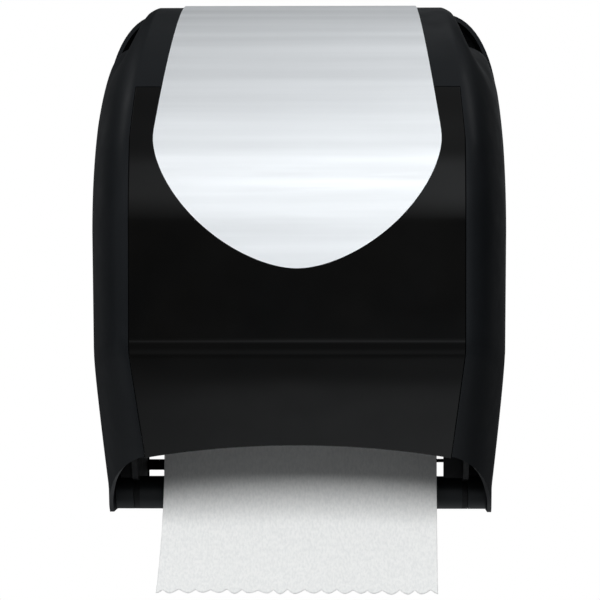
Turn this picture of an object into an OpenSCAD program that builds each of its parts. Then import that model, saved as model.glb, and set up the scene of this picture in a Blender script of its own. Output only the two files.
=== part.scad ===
// Automatic roll towel dispenser for a wall, with a hinged cover, a towel roll on two arms
// and a battery feed module. Sizes in millimetres, wall at y = 0, front toward -y, z up.

/* [Case] */
// Room between each side plate and the widest place of the case
side_room = 25; // [23:0.5:28]
// Height from the lower edge to the flat top
body_h = 369; // [364:1:374]
// Room between the battery box and the foremost front
front_room = 37.9; // [36:0.1:44]
// Wall thickness of the moulded case
wall = 3; // [2.6:0.1:3.6]
// Depth of the rim around the back plate
rim_d = 37.4; // [36:0.1:38]
// Gap between the rim and the closed cover
parting = 0.6; // [0.5:0.1:1.2]
// How far each side draws in at the feet
foot_in = 8.5; // [8:0.5:12]
// Height at which the sides start to draw in
waist_z = 118; // [110:1:130]
// Width of the corner curve at each top corner
corner_w = 45; // [43:0.5:49]
// Height of the corner curve at each top corner
corner_h = 80; // [76:1:86]

/* [Cover] */
// Depth at which the flat top ends and the front curve starts
crown_d = 72; // [70:1:76]
// Height of the brow line across the pane
brow_z = 126; // [120:1:130]
// How far the brow line lies behind the foremost front
brow_back = 2; // [1:0.5:4]
// Height of the step under the brow
brow_h = 9; // [7:1:11]
// Height of the cover's lip at its corners
lip_z = 45.5; // [44:0.5:47]
// How far the cover's lip lies behind the foremost front
lip_back = 42; // [38:1:44]
// Rise of the lip at its middle
lip_rise = 9; // [6:0.5:10]
// Width of each cheek beside the pane
cheek_w = 32; // [30:0.5:35]
// How far each side of the pane draws in at the lip
pane_lip_in = 8.3; // [6:0.1:11]
// How far each side of the pane draws in at its top edge
pane_top_in = 3; // [2:0.5:5]
// Distance from the flat top down to the pane's top edge
pane_drop = 67; // [63:1:73]
// Thickness of the pane
pane_t = 2.5; // [2:0.1:3]
// Gap around the pane
pane_gap = 0.6; // [0.5:0.1:1]
// Depth of the finger scoops at the top corners
scoop = 13; // [8:0.5:14]

/* [Steel panel] */
// Distance from the start of the corner curve to the panel's side at the top
panel_top_in = 19; // [15:0.5:22]
// Distance from the pane's side to the panel's widest place
panel_in = 16.5; // [14:0.5:20]
// How far the panel reaches back over the flat top
panel_back = 6; // [4:0.5:8]
// Distance from the flat top down to the widest place
panel_wide_drop = 101; // [95:1:107]
// Distance from the flat top down to the point
panel_tip_drop = 193; // [183:1:199]
// Sheet thickness of the panel
panel_t = 1.2; // [0.8:0.1:1.6]

/* [Hinge] */
// Depth of the hinge line
hinge_d = 75; // [74:1:77]
// Height of the hinge line
hinge_z = 13; // [12.5:0.5:14]
// Radius of the lower bar and of the knuckles
bar_r = 12; // [10:0.5:12.5]
// Radius of the hinge pins
pin_r = 3; // [2.5:0.25:3.5]

/* [Side plates] */
// Room for an arm between the roll and each side plate
end_room = 19; // [18:0.5:20]
// Thickness of the side plates
plate_t = 4; // [3:0.5:4]
// How far the side plates reach past the chute
plate_front = 7.3; // [6:0.1:10]
// Height of the side plates
plate_z = 140; // [136:1:144]

/* [Towel] */
// Diameter of the full roll
roll_dia = 182; // [150:1:188]
// Width of the roll and the towel
roll_w = 198; // [192:1:200]
// Outer diameter of the cardboard core
core_dia = 43; // [41:0.5:46]
// Wall of the cardboard core
core_wall = 1.5; // [1:0.1:2]
// Depth of the roll's axis
roll_d = 114; // [112:1:116]
// Distance from the flat top down to the roll's axis
roll_drop = 136; // [133:1:138]
// Thickness of the towel
towel_t = 0.6; // [0.5:0.1:0.8]
// How far the towel hangs below the case
hang = 54.5; // [30:0.5:80]
// How far the hanging end swings forward
hang_out = 32; // [15:1:40]
// Number of scallops in the torn edge
scallops = 18; // [12:1:22]

/* [Feed] */
// Height of the two rollers' axes
feed_z = 82; // [81:0.5:84]
// Radius of the drive tyres
drive_r = 14; // [12:0.5:14]
// Radius of the pinch tyres
pinch_r = 10; // [9:0.5:10]
// Radius of the drive shaft
drive_shaft_r = 4; // [3.5:0.5:5]
// Radius of the pinch shaft
pinch_shaft_r = 3; // [2.5:0.5:4]
// Free gap on each side of the towel in the nip
nip_gap = 0.3; // [0.3:0.05:0.6]

/* [Gears] */
// Gear module
gear_m = 1.25; // [1.15:0.05:1.25]
// Teeth on the roller gear
roller_teeth = 32; // [28:2:32]
// Teeth on the idler gear
idler_teeth = 24; // [20:2:24]
// Teeth on the motor pinion
pinion_teeth = 12; // [12:2:14]
// Face width of the gears
gear_w = 7; // [5:0.5:8]
// Added distance between gear axes for backlash
backlash = 0.2; // [0.15:0.05:0.4]
// Radius of the motor
motor_r = 16; // [14:0.5:17]
// Free space between the motor and the flanges behind it
motor_gap = 4.1; // [3:0.1:6]

/* [Batteries and controls] */
// Diameter of one round cell
cell_dia = 33; // [32:0.1:33.2]
// Length of one round cell
cell_l = 61; // [60:0.5:61.5]
// Travel of the feed button
button_travel = 2.5; // [1.5:0.5:3]
// Radius of the feed button
button_r = 8; // [6:0.5:9]

/* [Wall mount] */
// Distance between the wall screws across
screw_dx = 170; // [150:1:180]
// Distance between the wall screws up and down
screw_dz = 170; // [150:1:174]
// Distance from the flat top down to the upper wall screws
screw_drop = 44; // [39:1:49]
// Diameter of the wall screw holes
screw_dia = 5.5; // [4.5:0.1:6.5]

/* [Hidden] */
$fn = 64;

// Fits between pieces: a close seat and a running fit on a pin
seat = 0.02;
run = 0.05;

// Across: the towel, an arm beside each end, a side plate and the room outside it
plate_x = roll_w / 2 + end_room;
plate_out = plate_x + plate_t;
half_w = plate_out + side_room;
body_w = 2 * half_w;

// From the wall to the front: motor, gears, rollers, chute, battery box and the room before it
flange_t = 3;
motor_d = wall + flange_t + motor_gap + motor_r;
idler_d = motor_d + (idler_teeth + pinion_teeth) * gear_m / 2 + backlash;
feed_d = idler_d + (roller_teeth + idler_teeth) * gear_m / 2 + backlash;
nip = towel_t + 2 * nip_gap;
pinch_d = feed_d + drive_r + nip + pinch_r;
towel_d = feed_d + drive_r + nip / 2;
guide_t = 3.5;
guide_d = pinch_d + pinch_r + 1;
box_d = guide_d + guide_t;
box_wall = 1.6;
box_in = cell_dia + 0.6;
box_depth = 2 * box_in + 2 * box_wall;
body_d = box_d + box_depth + front_room;
plate_d = box_d + plate_front;
lip_d = body_d - lip_back;

roll_z = body_h - roll_drop;
screw_low = body_h - screw_drop - screw_dz;
crown_half = half_w - corner_w;
pane_half = half_w - cheek_w;
pane_lip_half = pane_half - pane_lip_in;
pane_top_half = pane_half - pane_top_in;
panel_half = pane_half - panel_in;
panel_top_half = crown_half - panel_top_in;
cover_d = rim_d + parting;
front_r = body_d - crown_d;
nose_z = body_h - front_r;
corner_z = body_h - corner_h;
pane_top = body_h - pane_drop;
brow_d = body_d - brow_back;
step_z = brow_z - brow_h;
step_d = brow_d - 3;
face_lean = (step_d - lip_d) / (step_z - lip_z);
roll_r = roll_dia / 2;
core_r = core_dia / 2;
bore_r = core_r - core_wall;
gear_x = plate_out + 0.8;
gear_top = gear_x + gear_w;
guide_top = feed_z + 18;
guide_low = feed_z - 26;
box_low = feed_z - 18;
box_h = box_in + box_wall;
box_x = 6 - plate_x;
box_w = 2 * cell_l + 12 + 2 * box_wall;
panel_x = box_x + box_w + 3;
panel_end = plate_x - 4;
panel_d = box_d + 40;
arm_x = roll_w / 2 + 3;
arm_t = 5;
arm_half = 9.7;
arm_z = plate_z - 20;
pivot_x = arm_x + 4;
lock_d = (cover_d + crown_d - panel_back) / 2;
lock_half = 9;
lock_top = body_h + 0.4;
cam_z = body_h - 20;
cam_t = 3;
cam_r = 24;

function mix(a, b, t) = a + (b - a) * t;

// Half width of the case at height z, straight above the waist and drawn in toward the feet
function case_half(z) =
    half_w - foot_in * pow(min(1, max(0, (waist_z - z) / (waist_z - 20))), 1.2);

// Half width of the pane opening at height z
function pane_at(z) = lookup(z, [[lip_z, pane_lip_half], [brow_z - 8, pane_half],
    [pane_top - 38, pane_half], [pane_top, pane_top_half], [body_h, crown_half]]);

// Basic shapes placed by width, depth from the wall and height
module block(x, d, z) {
    translate([x[0], -d[1], z[0]])
        cube([x[1] - x[0], d[1] - d[0], z[1] - z[0]]);
}

module rod_x(r, x, d, z) {
    translate([x[0], -d, z])
        rotate([0, 90, 0])
            cylinder(r = r, h = x[1] - x[0]);
}

module rod_y(r, x, d, z) {
    translate([x, -d[1], z])
        rotate([-90, 0, 0])
            cylinder(r = r, h = d[1] - d[0]);
}

module rod_z(r, x, d, z) {
    translate([x, -d, z[0]])
        cylinder(r = r, h = z[1] - z[0]);
}

// A side outline of depth and height carried across from x[0] to x[1]
module side_prism(x) {
    translate([x[1], 0, 0])
        rotate([90, 0, -90])
            linear_extrude(x[1] - x[0])
                children();
}

// A front outline of width and height carried from depth d[0] to d[1]
module front_prism(d) {
    translate([0, -d[0], 0])
        rotate([90, 0, 0])
            linear_extrude(d[1] - d[0])
                children();
}

// A curved sheet with thickness, made from two matching grids of points; keep tells which cells exist
module thick_grid(outer, inner, keep) {
    rows = len(outer);
    cols = len(outer[0]);
    size = rows * cols;
    has = function(i, j) i >= 0 && j >= 0 && i < rows - 1 && j < cols - 1 && keep[i][j];
    id = function(i, j) i * cols + j;
    skin = [for (i = [0 : rows - 2], j = [0 : cols - 2]) if (has(i, j))
        each j < (cols - 1) / 2
            ? [[id(i, j), id(i, j + 1), id(i + 1, j + 1)], [id(i, j), id(i + 1, j + 1), id(i + 1, j)]]
            : [[id(i, j), id(i, j + 1), id(i + 1, j)], [id(i, j + 1), id(i + 1, j + 1), id(i + 1, j)]]];
    back = [for (f = skin) [f[2] + size, f[1] + size, f[0] + size]];
    rim = [for (i = [0 : rows - 2], j = [0 : cols - 2]) if (has(i, j)) each [
        if (!has(i - 1, j)) [id(i, j), id(i, j + 1)],
        if (!has(i, j + 1)) [id(i, j + 1), id(i + 1, j + 1)],
        if (!has(i + 1, j)) [id(i + 1, j + 1), id(i + 1, j)],
        if (!has(i, j - 1)) [id(i + 1, j), id(i, j)]]];
    edge = [for (e = rim)
        each [[e[1], e[0], e[0] + size], [e[1], e[0] + size, e[1] + size]]];
    polyhedron(points = concat([for (r = outer) each r], [for (r = inner) each r]),
        faces = concat(skin, back, edge));
}

// Rows of the cover frame from the parting edge over the top and down the front to the lip.
// A row is front point, outward direction, side point, rear point, easing and scoop share.
flat_steps = [cover_d, lock_d - lock_half, lock_d + lock_half, crown_d];
arc_a = asin((pane_top - nose_z) / front_r);
arc_steps = concat([for (k = [1 : 8]) mix(90, arc_a, k / 8)], [for (k = [1 : 5]) mix(arc_a, 0, k / 5)]);
side_d = cover_d + 0.5 * (body_d - cover_d);
side_z = nose_z - 8;
rear_z = side_z - 26;
foot_z = 0.5;
scoop_a = [14, 57];
crown_ease = 0.5;
rim_ease = 0.85;

function scoop_share(d) = 0.5 + 0.5 * cos(180 * min(1, max(0, (d - 110) / 80)));

function lower_row(d, z, n) =
    let (t = (nose_z - z) / (nose_z - lip_z), bz = mix(rear_z, foot_z, t))
    [[d, z], n, [mix(side_d, 100, t), mix(side_z, foot_z, t)],
        [cover_d + max(0, 25 - bz) / 8, bz], 1 + 0.35 * max(0, (brow_z - z) / (brow_z - lip_z)), 0];

lean_n = [1, -face_lean] / norm([1, face_lean]);
frame_rows = concat(
    [for (k = [0 : 3]) [[flat_steps[k], body_h], [0, 1],
        [mix(cover_d, flat_steps[k], 0.5), corner_z], [cover_d, corner_z - 4 - k], 1 + crown_ease, 1]],
    [for (a = arc_steps) let (t = 1 - a / 90, d = crown_d + front_r * cos(a))
        [[d, nose_z + front_r * sin(a)], [cos(a), sin(a)],
            [mix(cover_d, d, 0.5), mix(corner_z, side_z, t)],
            [cover_d, mix(corner_z - 8, rear_z, t)], 1 + crown_ease * max(0, 1 - 2 * t), scoop_share(d)]],
    [for (k = [1 : 3]) lower_row(mix(body_d, brow_d, k / 3), mix(nose_z, brow_z, k / 3), [1, 0])],
    [for (k = [0 : 5]) lower_row(mix(step_d, lip_d, k / 5), mix(step_z, lip_z, k / 5), lean_n)]);
corner_n = 12;
side_n = 2;

// Point of the frame on the right half, w inside the outer skin
function frame_point(row, k, w) =
    let (a = 90 * min(1, k / corner_n), s = max(0, k - corner_n) / side_n,
        p = row[0] - w * row[1],
        q = k <= corner_n ? row[2] + (p - row[2]) * cos(a) : mix(row[2], row[3], s),
        x = pane_at(row[0][1]),
        turn = min(1, max(0, (a - scoop_a[0]) / (scoop_a[1] - scoop_a[0]))),
        dish = row[5] * scoop * (0.5 - 0.5 * cos(360 * turn)),
        n = [corner_h * sin(a), (half_w - crown_half) * cos(a)],
        m = n / norm(n))
    [x + (case_half(q[1]) - w - x) * pow(sin(a), row[4]) - dish * m[0], -q[0], q[1] - dish * m[1]];

function frame_grid(w) = [for (row = frame_rows)
    let (right = [for (k = [0 : corner_n + side_n]) frame_point(row, k, w)],
        mid = right[0])
    concat([for (k = [corner_n + side_n : -1 : 0]) [-right[k][0], right[k][1], right[k][2]]],
        [[-lock_half, mid[1], mid[2]], [lock_half, mid[1], mid[2]]], right)];

top_rows = 11;
side_cells = corner_n + side_n;
frame_keep = [for (i = [0 : len(frame_rows) - 2]) [for (j = [0 : 2 * side_cells + 2])
    let (middle = j >= side_cells && j <= side_cells + 2, lock = i == 1 && j == side_cells + 1)
    !lock && (!middle || i < top_rows)]];

// Side line of the cover's front below the nose, moved outward by o
function lower_line(o) = let (lean = o * sqrt(1 + face_lean * face_lean))
    [[body_d + o, nose_z], [brow_d + o, brow_z], [step_d + 1 + lean, brow_z - 0.6 * brow_h],
        [step_d + lean, step_z], [lip_d + lean - 12 * face_lean, lip_z - 12]];

// Curved shell along the cover's front between the offsets a outside and b inside
module front_shell(a, b) {
    inner = lower_line(b);
    intersection() {
        side_prism([-half_w, half_w])
            translate([crown_d, nose_z])
                difference() {
                    circle(r = front_r + a);
                    circle(r = front_r + b);
                }
        block([-half_w, half_w], [crown_d, body_d + 5], [nose_z, body_h + 5]);
    }
    side_prism([-half_w, half_w])
        polygon(concat(lower_line(a), [for (k = [len(inner) - 1 : -1 : 0]) inner[k]]));
    block([-half_w, half_w], [crown_d - panel_back, crown_d], [body_h + b, body_h + a]);
    lap = [mix(b, a, 1 / 3), mix(b, a, 2 / 3)];
    block([-half_w, half_w], [body_d + lap[0], body_d + lap[1]], [nose_z - 1, nose_z + 1]);
    block([-half_w, half_w], [crown_d - 1, crown_d + 1], [body_h + lap[0], body_h + lap[1]]);
}

// Front outline of the case, drawn in by o
function corner_points(o) = [for (a = [90 : -5 : 0])
    [crown_half + (half_w - crown_half - o) * pow(sin(a), rim_ease), corner_z + (corner_h - o) * cos(a)]];
function edge_points(o, low) = concat(
    [for (z = concat(low, [10, 20, 35, 50, 65, 80, 95, 107], waist_z)) [case_half(z) - o, z]],
    corner_points(o));
function both_sides(p) = concat(p,
    [for (k = [len(p) - 1 : -1 : 0]) if (p[k][0] > 0) [-p[k][0], p[k][1]]]);

// Front outline of the pane
pane_low = [for (k = [0 : 12]) let (s = k / 12, h = pane_lip_half - pane_gap)
    [s * h, lip_z - 1 + lip_rise * (1 - s * s)]];
pane_edge = [for (z = [brow_z - 8, pane_top - 38, pane_top]) [pane_at(z) - pane_gap, z]];
pane_top_a = arc_a - asin(pane_gap / front_r);

// Front outline of the steel panel, a shield with a soft point
panel_wide_z = body_h - panel_wide_drop;
panel_tip_z = body_h - panel_tip_drop;
panel_low = [for (k = [0 : 16]) let (a = 90 * k / 16)
    [panel_half * pow(sin(a), 2 / 1.65), panel_wide_z - 4
        - (panel_wide_z - 4 - panel_tip_z) * pow(cos(a), 2 / 1.65)]];
panel_edge = [[panel_half, panel_wide_z], [panel_half - 0.8, panel_wide_z + 6],
    [panel_top_half, body_h + 4]];

// Wall housing
module back_plate() {
    wx = screw_dx / 2;
    color([0.07, 0.07, 0.075])
    difference() {
        union() {
            front_prism([0, wall])
                polygon(both_sides(edge_points(0, 0)));
            difference() {
                front_prism([0, rim_d])
                    polygon(both_sides(edge_points(0, 0)));
                front_prism([-1, rim_d + 1])
                    polygon(both_sides(edge_points(wall, -1)));
            }
            for (x = [-wx, wx], z = [screw_low, screw_low + screw_dz])
                rod_y(8, x, [0, wall + 3], z);
        }
        for (x = [-wx, wx], z = [screw_low, screw_low + screw_dz])
            rod_y(screw_dia / 2, x, [-1, wall + 4], z);
        for (z = plate_screw_z, s = [-1, 1])
            rod_y(1.55, s * plate_screw_x, [-1, wall + 1], z);
        for (z = [[slit_low, slit_low + 10], [slit_low + 18, slit_high]])
            block([-slit_x, slit_w - slit_x], [-1, wall + 1], z);
        for (z = [[slit_low, slit_low + 16], [slit_low + 18.5, slit_high]])
            block([slit_x - slit_w, slit_x], [-1, wall + 1], z);
    }
}

plate_screw_x = plate_x - 8;
plate_screw_z = [feed_z - 4, plate_z - 12];

// Slits low in the wall housing, between the plates and the floor pan
slit_w = 40;
slit_x = plate_x - 1;
slit_low = hinge_z + 2;
slit_high = guide_low - 10;

// Stiffening tabs beside the towel, low on the plates
tab_d = [towel_d - 5.6, towel_d - 2.6];
tab_low = hinge_z + 12;
tab_high = guide_low + 2;

// Plates that carry the rollers, the bar and the arms
module plate_outline() {
    nose = [for (a = [50 : -10 : -90]) [hinge_d, hinge_z] + bar_r * [cos(a), sin(a)]];
    polygon(concat([[wall, hinge_z - bar_r], [wall, plate_z], [plate_d, plate_z], [plate_d, feed_z - 20],
        [towel_d + 3.4, tab_low]], nose));
}

module plate_holes(x) {
    rod_x(pin_r + seat, x, hinge_d, hinge_z);
    rod_x(drive_shaft_r + 3 + seat, x, feed_d, feed_z);
    rod_x(pinch_shaft_r + 2 + seat, x, pinch_d, feed_z);
}

module plate_flange(s) {
    difference() {
        block([min(s * plate_x, s * (plate_x - 16)), max(s * plate_x, s * (plate_x - 16))],
            [wall, wall + flange_t], [feed_z - 18, plate_z]);
        for (z = plate_screw_z)
            rod_y(1.55, s * plate_screw_x, [0, wall + 4], z);
    }
}

module side_plate_left() {
    color([0.09, 0.09, 0.095]) {
        difference() {
            side_prism([-plate_out, -plate_x])
                plate_outline();
            plate_holes([-plate_out - 1, -plate_x + 1]);
        }
        plate_flange(-1);
        block([-plate_out - 9, -plate_out], tab_d, [tab_low, tab_high]);
    }
}

module side_plate_right() {
    color([0.09, 0.09, 0.095]) {
        difference() {
            side_prism([plate_x, plate_out])
                plate_outline();
            plate_holes([plate_x - 1, plate_out + 1]);
            rod_x(6 + seat, [plate_x - 1, plate_out + 1], motor_d, feed_z);
            rod_x(3 + seat, [plate_x - 1, plate_out + 1], idler_d, feed_z);
            guard_holes([plate_x - 1, plate_out + 1]);
        }
        plate_flange(1);
        block([plate_x - 14, plate_x], tab_d, [tab_low, tab_high]);
    }
}

// Round bar with a floor pan behind it
module lower_bar() {
    color([0.05, 0.05, 0.055])
    difference() {
        union() {
            rod_x(bar_r, [-plate_x, plate_x], hinge_d, hinge_z);
            block([-plate_x, plate_x], [wall, hinge_d], [hinge_z - bar_r, hinge_z - bar_r + 3]);
            block([-plate_x, plate_x], [wall, wall + 4], [hinge_z - bar_r, 14]);
        }
        rod_x(bar_r - 3, [-plate_x - 1, plate_x + 1], hinge_d, hinge_z);
        rod_z(7 + seat, sensor_x, sensor_d, [-2, hinge_z - bar_r + 4]);
    }
}

sensor_x = 52;
sensor_d = 48;

module sensor_lens() {
    color([0.12, 0.02, 0.03]) {
        rod_z(7, sensor_x, sensor_d, [hinge_z - bar_r - 0.8, hinge_z - bar_r + 3]);
        rod_z(9, sensor_x, sensor_d, [hinge_z - bar_r + 3, hinge_z - bar_r + 7]);
    }
}

knuckle_x = plate_out + 0.4;
knuckle_end = case_half(0) - wall - 0.2;

module hinge_pins() {
    color([0.6, 0.6, 0.62])
    for (s = [-1, 1])
        rod_x(pin_r, [min(s * (plate_x - 6), s * (knuckle_end - 0.5)),
            max(s * (plate_x - 6), s * (knuckle_end - 0.5))], hinge_d, hinge_z);
}

module hinge_knuckles() {
    color([0.06, 0.06, 0.065])
    for (s = [-1, 1])
        difference() {
            rod_x(bar_r, [min(s * knuckle_x, s * knuckle_end), max(s * knuckle_x, s * knuckle_end)],
                hinge_d, hinge_z);
            rod_x(pin_r + run, [-body_w, body_w], hinge_d, hinge_z);
        }
}

// Chute around the towel
module rear_guide() {
    top = feed_z - drive_r - 2.5;
    low = hinge_z + bar_r + 0.1;
    color([0.1, 0.1, 0.105]) {
        block([-roll_w / 2 + 2, roll_w / 2 - 2], [hinge_d - 1.5, hinge_d + 1.5], [low, top]);
        block([-roll_w / 2 + 2, roll_w / 2 - 2], [hinge_d + 1.5, feed_d + 4], [top - 2.5, top]);
        for (s = [-1, 1])
            block([min(s * plate_x, s * (roll_w / 2 - 4)), max(s * plate_x, s * (roll_w / 2 - 4))],
                [hinge_d - 1.5, hinge_d + 1.5], [top - 8, top]);
    }
}

module front_guide() {
    color([0.1, 0.1, 0.105]) {
        block([-plate_x, plate_x], [guide_d, box_d], [guide_low, guide_top]);
        block([-plate_x, plate_x], [blade_d + 1, guide_d], [guide_low, guide_low + 3]);
    }
}

blade_d = towel_d + 5;
blade_half = roll_w / 2 + 3;
blade_n = 34;

module tear_blade() {
    teeth = [for (k = [0 : 2 * blade_n]) [mix(-blade_half, blade_half, k / (2 * blade_n)),
        guide_low - 4 + 3 * (k % 2)]];
    color([0.75, 0.75, 0.77])
    front_prism([blade_d, blade_d + 1])
        polygon(concat(teeth, [[blade_half, guide_low + 9], [-blade_half, guide_low + 9]]));
}

// Drive roller, driven through gears outside the right plate
module bush(x0, x1, r, wall_r, d) {
    difference() {
        union() {
            rod_x(r + wall_r, [min(x0, x1), max(x0, x1)], d, feed_z);
            rod_x(r + wall_r + 2, [x0 > 0 ? x0 - 1.5 : x0, x0 > 0 ? x0 : x0 + 1.5], d, feed_z);
        }
        rod_x(r + run, [-body_w, body_w], d, feed_z);
    }
}

module roller_bushes() {
    color([0.8, 0.78, 0.7])
    for (s = [-1, 1])
        bush(s * plate_x, s * plate_out, drive_shaft_r, 3, feed_d);
}

module pinch_bushes() {
    color([0.8, 0.78, 0.7])
    for (s = [-1, 1])
        bush(s * plate_x, s * plate_out, pinch_shaft_r, 2, pinch_d);
}

module drive_shaft() {
    color([0.65, 0.65, 0.67])
    rod_x(drive_shaft_r, [-plate_out, gear_top + 0.3], feed_d, feed_z);
}

module tyre_row(r, hole, d, n, w) {
    pitch = (roll_w - 6 - w) / (n - 1);
    difference() {
        for (k = [0 : n - 1])
            translate([(k - (n - 1) / 2) * pitch, 0, 0])
                rod_x(r, [-w / 2, w / 2], d, feed_z);
        rod_x(hole + seat, [-body_w, body_w], d, feed_z);
    }
}

module drive_tyres() {
    color([0.13, 0.13, 0.13])
    tyre_row(drive_r, drive_shaft_r, feed_d, 5, 30);
}

module pinch_shaft() {
    color([0.65, 0.65, 0.67])
    rod_x(pinch_shaft_r, [-plate_out, plate_out], pinch_d, feed_z);
}

module pinch_tyres() {
    color([0.3, 0.3, 0.32])
    tyre_row(pinch_r, pinch_shaft_r, pinch_d, 5, 24);
}

// Involute gear outline in the plane of depth and height, first tooth along depth
function inv(a) = tan(a) * 180 / PI - a;
function tooth_side(n, r) =
    let (base = gear_m * n / 2 * cos(25), a = acos(min(1, base / max(base, r))))
    86 / n + inv(25) - inv(a);
function gear_points(n) =
    let (pitch = gear_m * n / 2, base = pitch * cos(25), root = pitch - 1.25 * gear_m,
        radii = [max(root + 0.2, base), pitch - 0.3 * gear_m, pitch + 0.3 * gear_m, pitch + 0.85 * gear_m])
    [for (k = [0 : n - 1]) each concat(
        [let (a = 360 * k / n - tooth_side(n, base) - 10 / n) root * [cos(a), sin(a)]],
        [for (r = radii) let (a = 360 * k / n - tooth_side(n, r)) r * [cos(a), sin(a)]],
        [for (i = [3 : -1 : 0]) let (r = radii[i], a = 360 * k / n + tooth_side(n, r)) r * [cos(a), sin(a)]],
        [let (a = 360 * k / n + tooth_side(n, base) + 10 / n) root * [cos(a), sin(a)]])];

module gear(n, d, turn, bore) {
    difference() {
        side_prism([gear_x, gear_top])
            translate([d, feed_z])
                rotate(turn)
                    polygon(gear_points(n));
        rod_x(bore, [0, body_w], d, feed_z);
    }
}

module roller_gear() {
    color([0.85, 0.85, 0.82])
    gear(roller_teeth, feed_d, 0, drive_shaft_r + seat);
}

module idler_gear() {
    color([0.85, 0.85, 0.82])
    gear(idler_teeth, idler_d, 180 / idler_teeth, 3 + run);
}

module idler_stud() {
    color([0.65, 0.65, 0.67]) {
        rod_x(3, [plate_x - 0.5, gear_top + 0.3], idler_d, feed_z);
        rod_x(5, [plate_x - 3, plate_x - 0.1], idler_d, feed_z);
        rod_x(5, [gear_top + 0.3, gear_top + 1.3], idler_d, feed_z);
    }
}

module motor_pinion() {
    color([0.75, 0.68, 0.4]) {
        gear(pinion_teeth, motor_d, 0, 2);
        rod_x(2, [plate_x + 1, gear_top + 0.3], motor_d, feed_z);
    }
}

module gear_motor() {
    color([0.62, 0.62, 0.64])
    difference() {
        union() {
            rod_x(motor_r, [plate_x - 50, plate_x], motor_d, feed_z);
            rod_x(6, [plate_x, plate_out - 0.5], motor_d, feed_z);
            rod_x(motor_r - 6, [plate_x - 54, plate_x - 50], motor_d, feed_z);
        }
        rod_x(2 + run, [plate_x + 0.6, body_w], motor_d, feed_z);
    }
}

guard_d = [max(wall + 2, motor_d - 18), feed_d + roller_teeth * gear_m / 2 + 7];
guard_z = [feed_z - roller_teeth * gear_m / 2 - 6, feed_z + roller_teeth * gear_m / 2 + 6];
guard_x = gear_top + 3.6;

module guard_holes(x) {
    for (d = [guard_d[0] + 5, guard_d[1] - 5], z = [guard_z[0] + 5, guard_z[1] - 5])
        rod_x(1.55, x, d, z);
}

module gear_guard() {
    color([0.11, 0.11, 0.115])
    difference() {
        union() {
            difference() {
                block([plate_out, guard_x], guard_d, guard_z);
                block([plate_out - 1, guard_x - 1.8], [guard_d[0] + 1.8, guard_d[1] - 1.8],
                    [guard_z[0] + 1.8, guard_z[1] - 1.8]);
            }
            for (d = [guard_d[0] + 5, guard_d[1] - 5], z = [guard_z[0] + 5, guard_z[1] - 5])
                rod_x(3.4, [plate_out, guard_x], d, z);
        }
        guard_holes([plate_out - 1, guard_x + 1]);
    }
}

module guard_screws() {
    color([0.7, 0.7, 0.72])
    for (d = [guard_d[0] + 5, guard_d[1] - 5], z = [guard_z[0] + 5, guard_z[1] - 5]) {
        rod_x(1.5, [plate_x, guard_x], d, z);
        rod_x(2.8, [guard_x, guard_x + 1.6], d, z);
    }
}

module chassis_screws() {
    color([0.7, 0.7, 0.72])
    for (s = [-1, 1], z = plate_screw_z) {
        rod_y(1.5, s * plate_screw_x, [0.4, wall + flange_t], z);
        rod_y(3.2, s * plate_screw_x, [wall + flange_t, wall + flange_t + 2], z);
    }
}

// Roll, core and the two arms
module towel_roll() {
    color([0.82, 0.83, 0.82])
    difference() {
        rod_x(roll_r, [-roll_w / 2, roll_w / 2], roll_d, roll_z);
        rod_x(core_r + seat, [-roll_w, roll_w], roll_d, roll_z);
    }
}

module roll_core() {
    color([0.55, 0.42, 0.28])
    difference() {
        rod_x(core_r, [-roll_w / 2, roll_w / 2], roll_d, roll_z);
        rod_x(bore_r, [-roll_w, roll_w], roll_d, roll_z);
    }
}

module arm_outline(low) {
    translate([roll_d - arm_half, low])
        square([2 * arm_half, roll_z - low]);
    translate([roll_d, roll_z])
        circle(r = 17);
}

module left_arm() {
    color([0.14, 0.14, 0.15]) {
        side_prism([-arm_x - arm_t, -arm_x])
            arm_outline(arm_z - 10);
        block([-plate_x, -arm_x], [roll_d - arm_half, roll_d + arm_half], [arm_z - 10, arm_z + 8]);
    }
}

module hub() {
    base = arm_x - 1.6;
    rod_x(17, [base, arm_x], roll_d, roll_z);
    translate([base - 3, -roll_d, roll_z])
        rotate([0, 90, 0])
            cylinder(r = bore_r - 0.3, h = 3);
    translate([base - 11, -roll_d, roll_z])
        rotate([0, 90, 0])
            cylinder(r1 = bore_r - 6, r2 = bore_r - 0.3, h = 8);
}

module left_hub() {
    color([0.2, 0.2, 0.21])
    mirror([1, 0, 0])
        hub();
}

module right_hub() {
    color([0.2, 0.2, 0.21])
    hub();
}

ear_gap = 0.4;
ear_t = 4;

module right_arm() {
    color([0.14, 0.14, 0.15])
    difference() {
        union() {
            side_prism([arm_x, arm_x + arm_t])
                arm_outline(arm_z);
            rod_y(6, pivot_x, [roll_d - arm_half, roll_d + arm_half], arm_z);
        }
        rod_y(pin_r + run, pivot_x, [0, body_d], arm_z);
    }
}

module arm_bracket() {
    color([0.12, 0.12, 0.125])
    difference() {
        union() {
            for (d = [roll_d - arm_half - ear_gap - ear_t, roll_d + arm_half + ear_gap])
                block([pivot_x - 7, plate_x], [d, d + ear_t], [arm_z - 8, arm_z + 7]);
            block([plate_x - 3, plate_x], [roll_d - arm_half - ear_gap, roll_d + arm_half + ear_gap],
                [arm_z - 8, arm_z + 7]);
        }
        rod_y(pin_r + seat, pivot_x, [0, body_d], arm_z);
    }
}

module arm_pivot_pin() {
    color([0.65, 0.65, 0.67])
    rod_y(pin_r, pivot_x, [roll_d - arm_half - ear_gap - ear_t, roll_d + arm_half + ear_gap + ear_t], arm_z);
}

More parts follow.
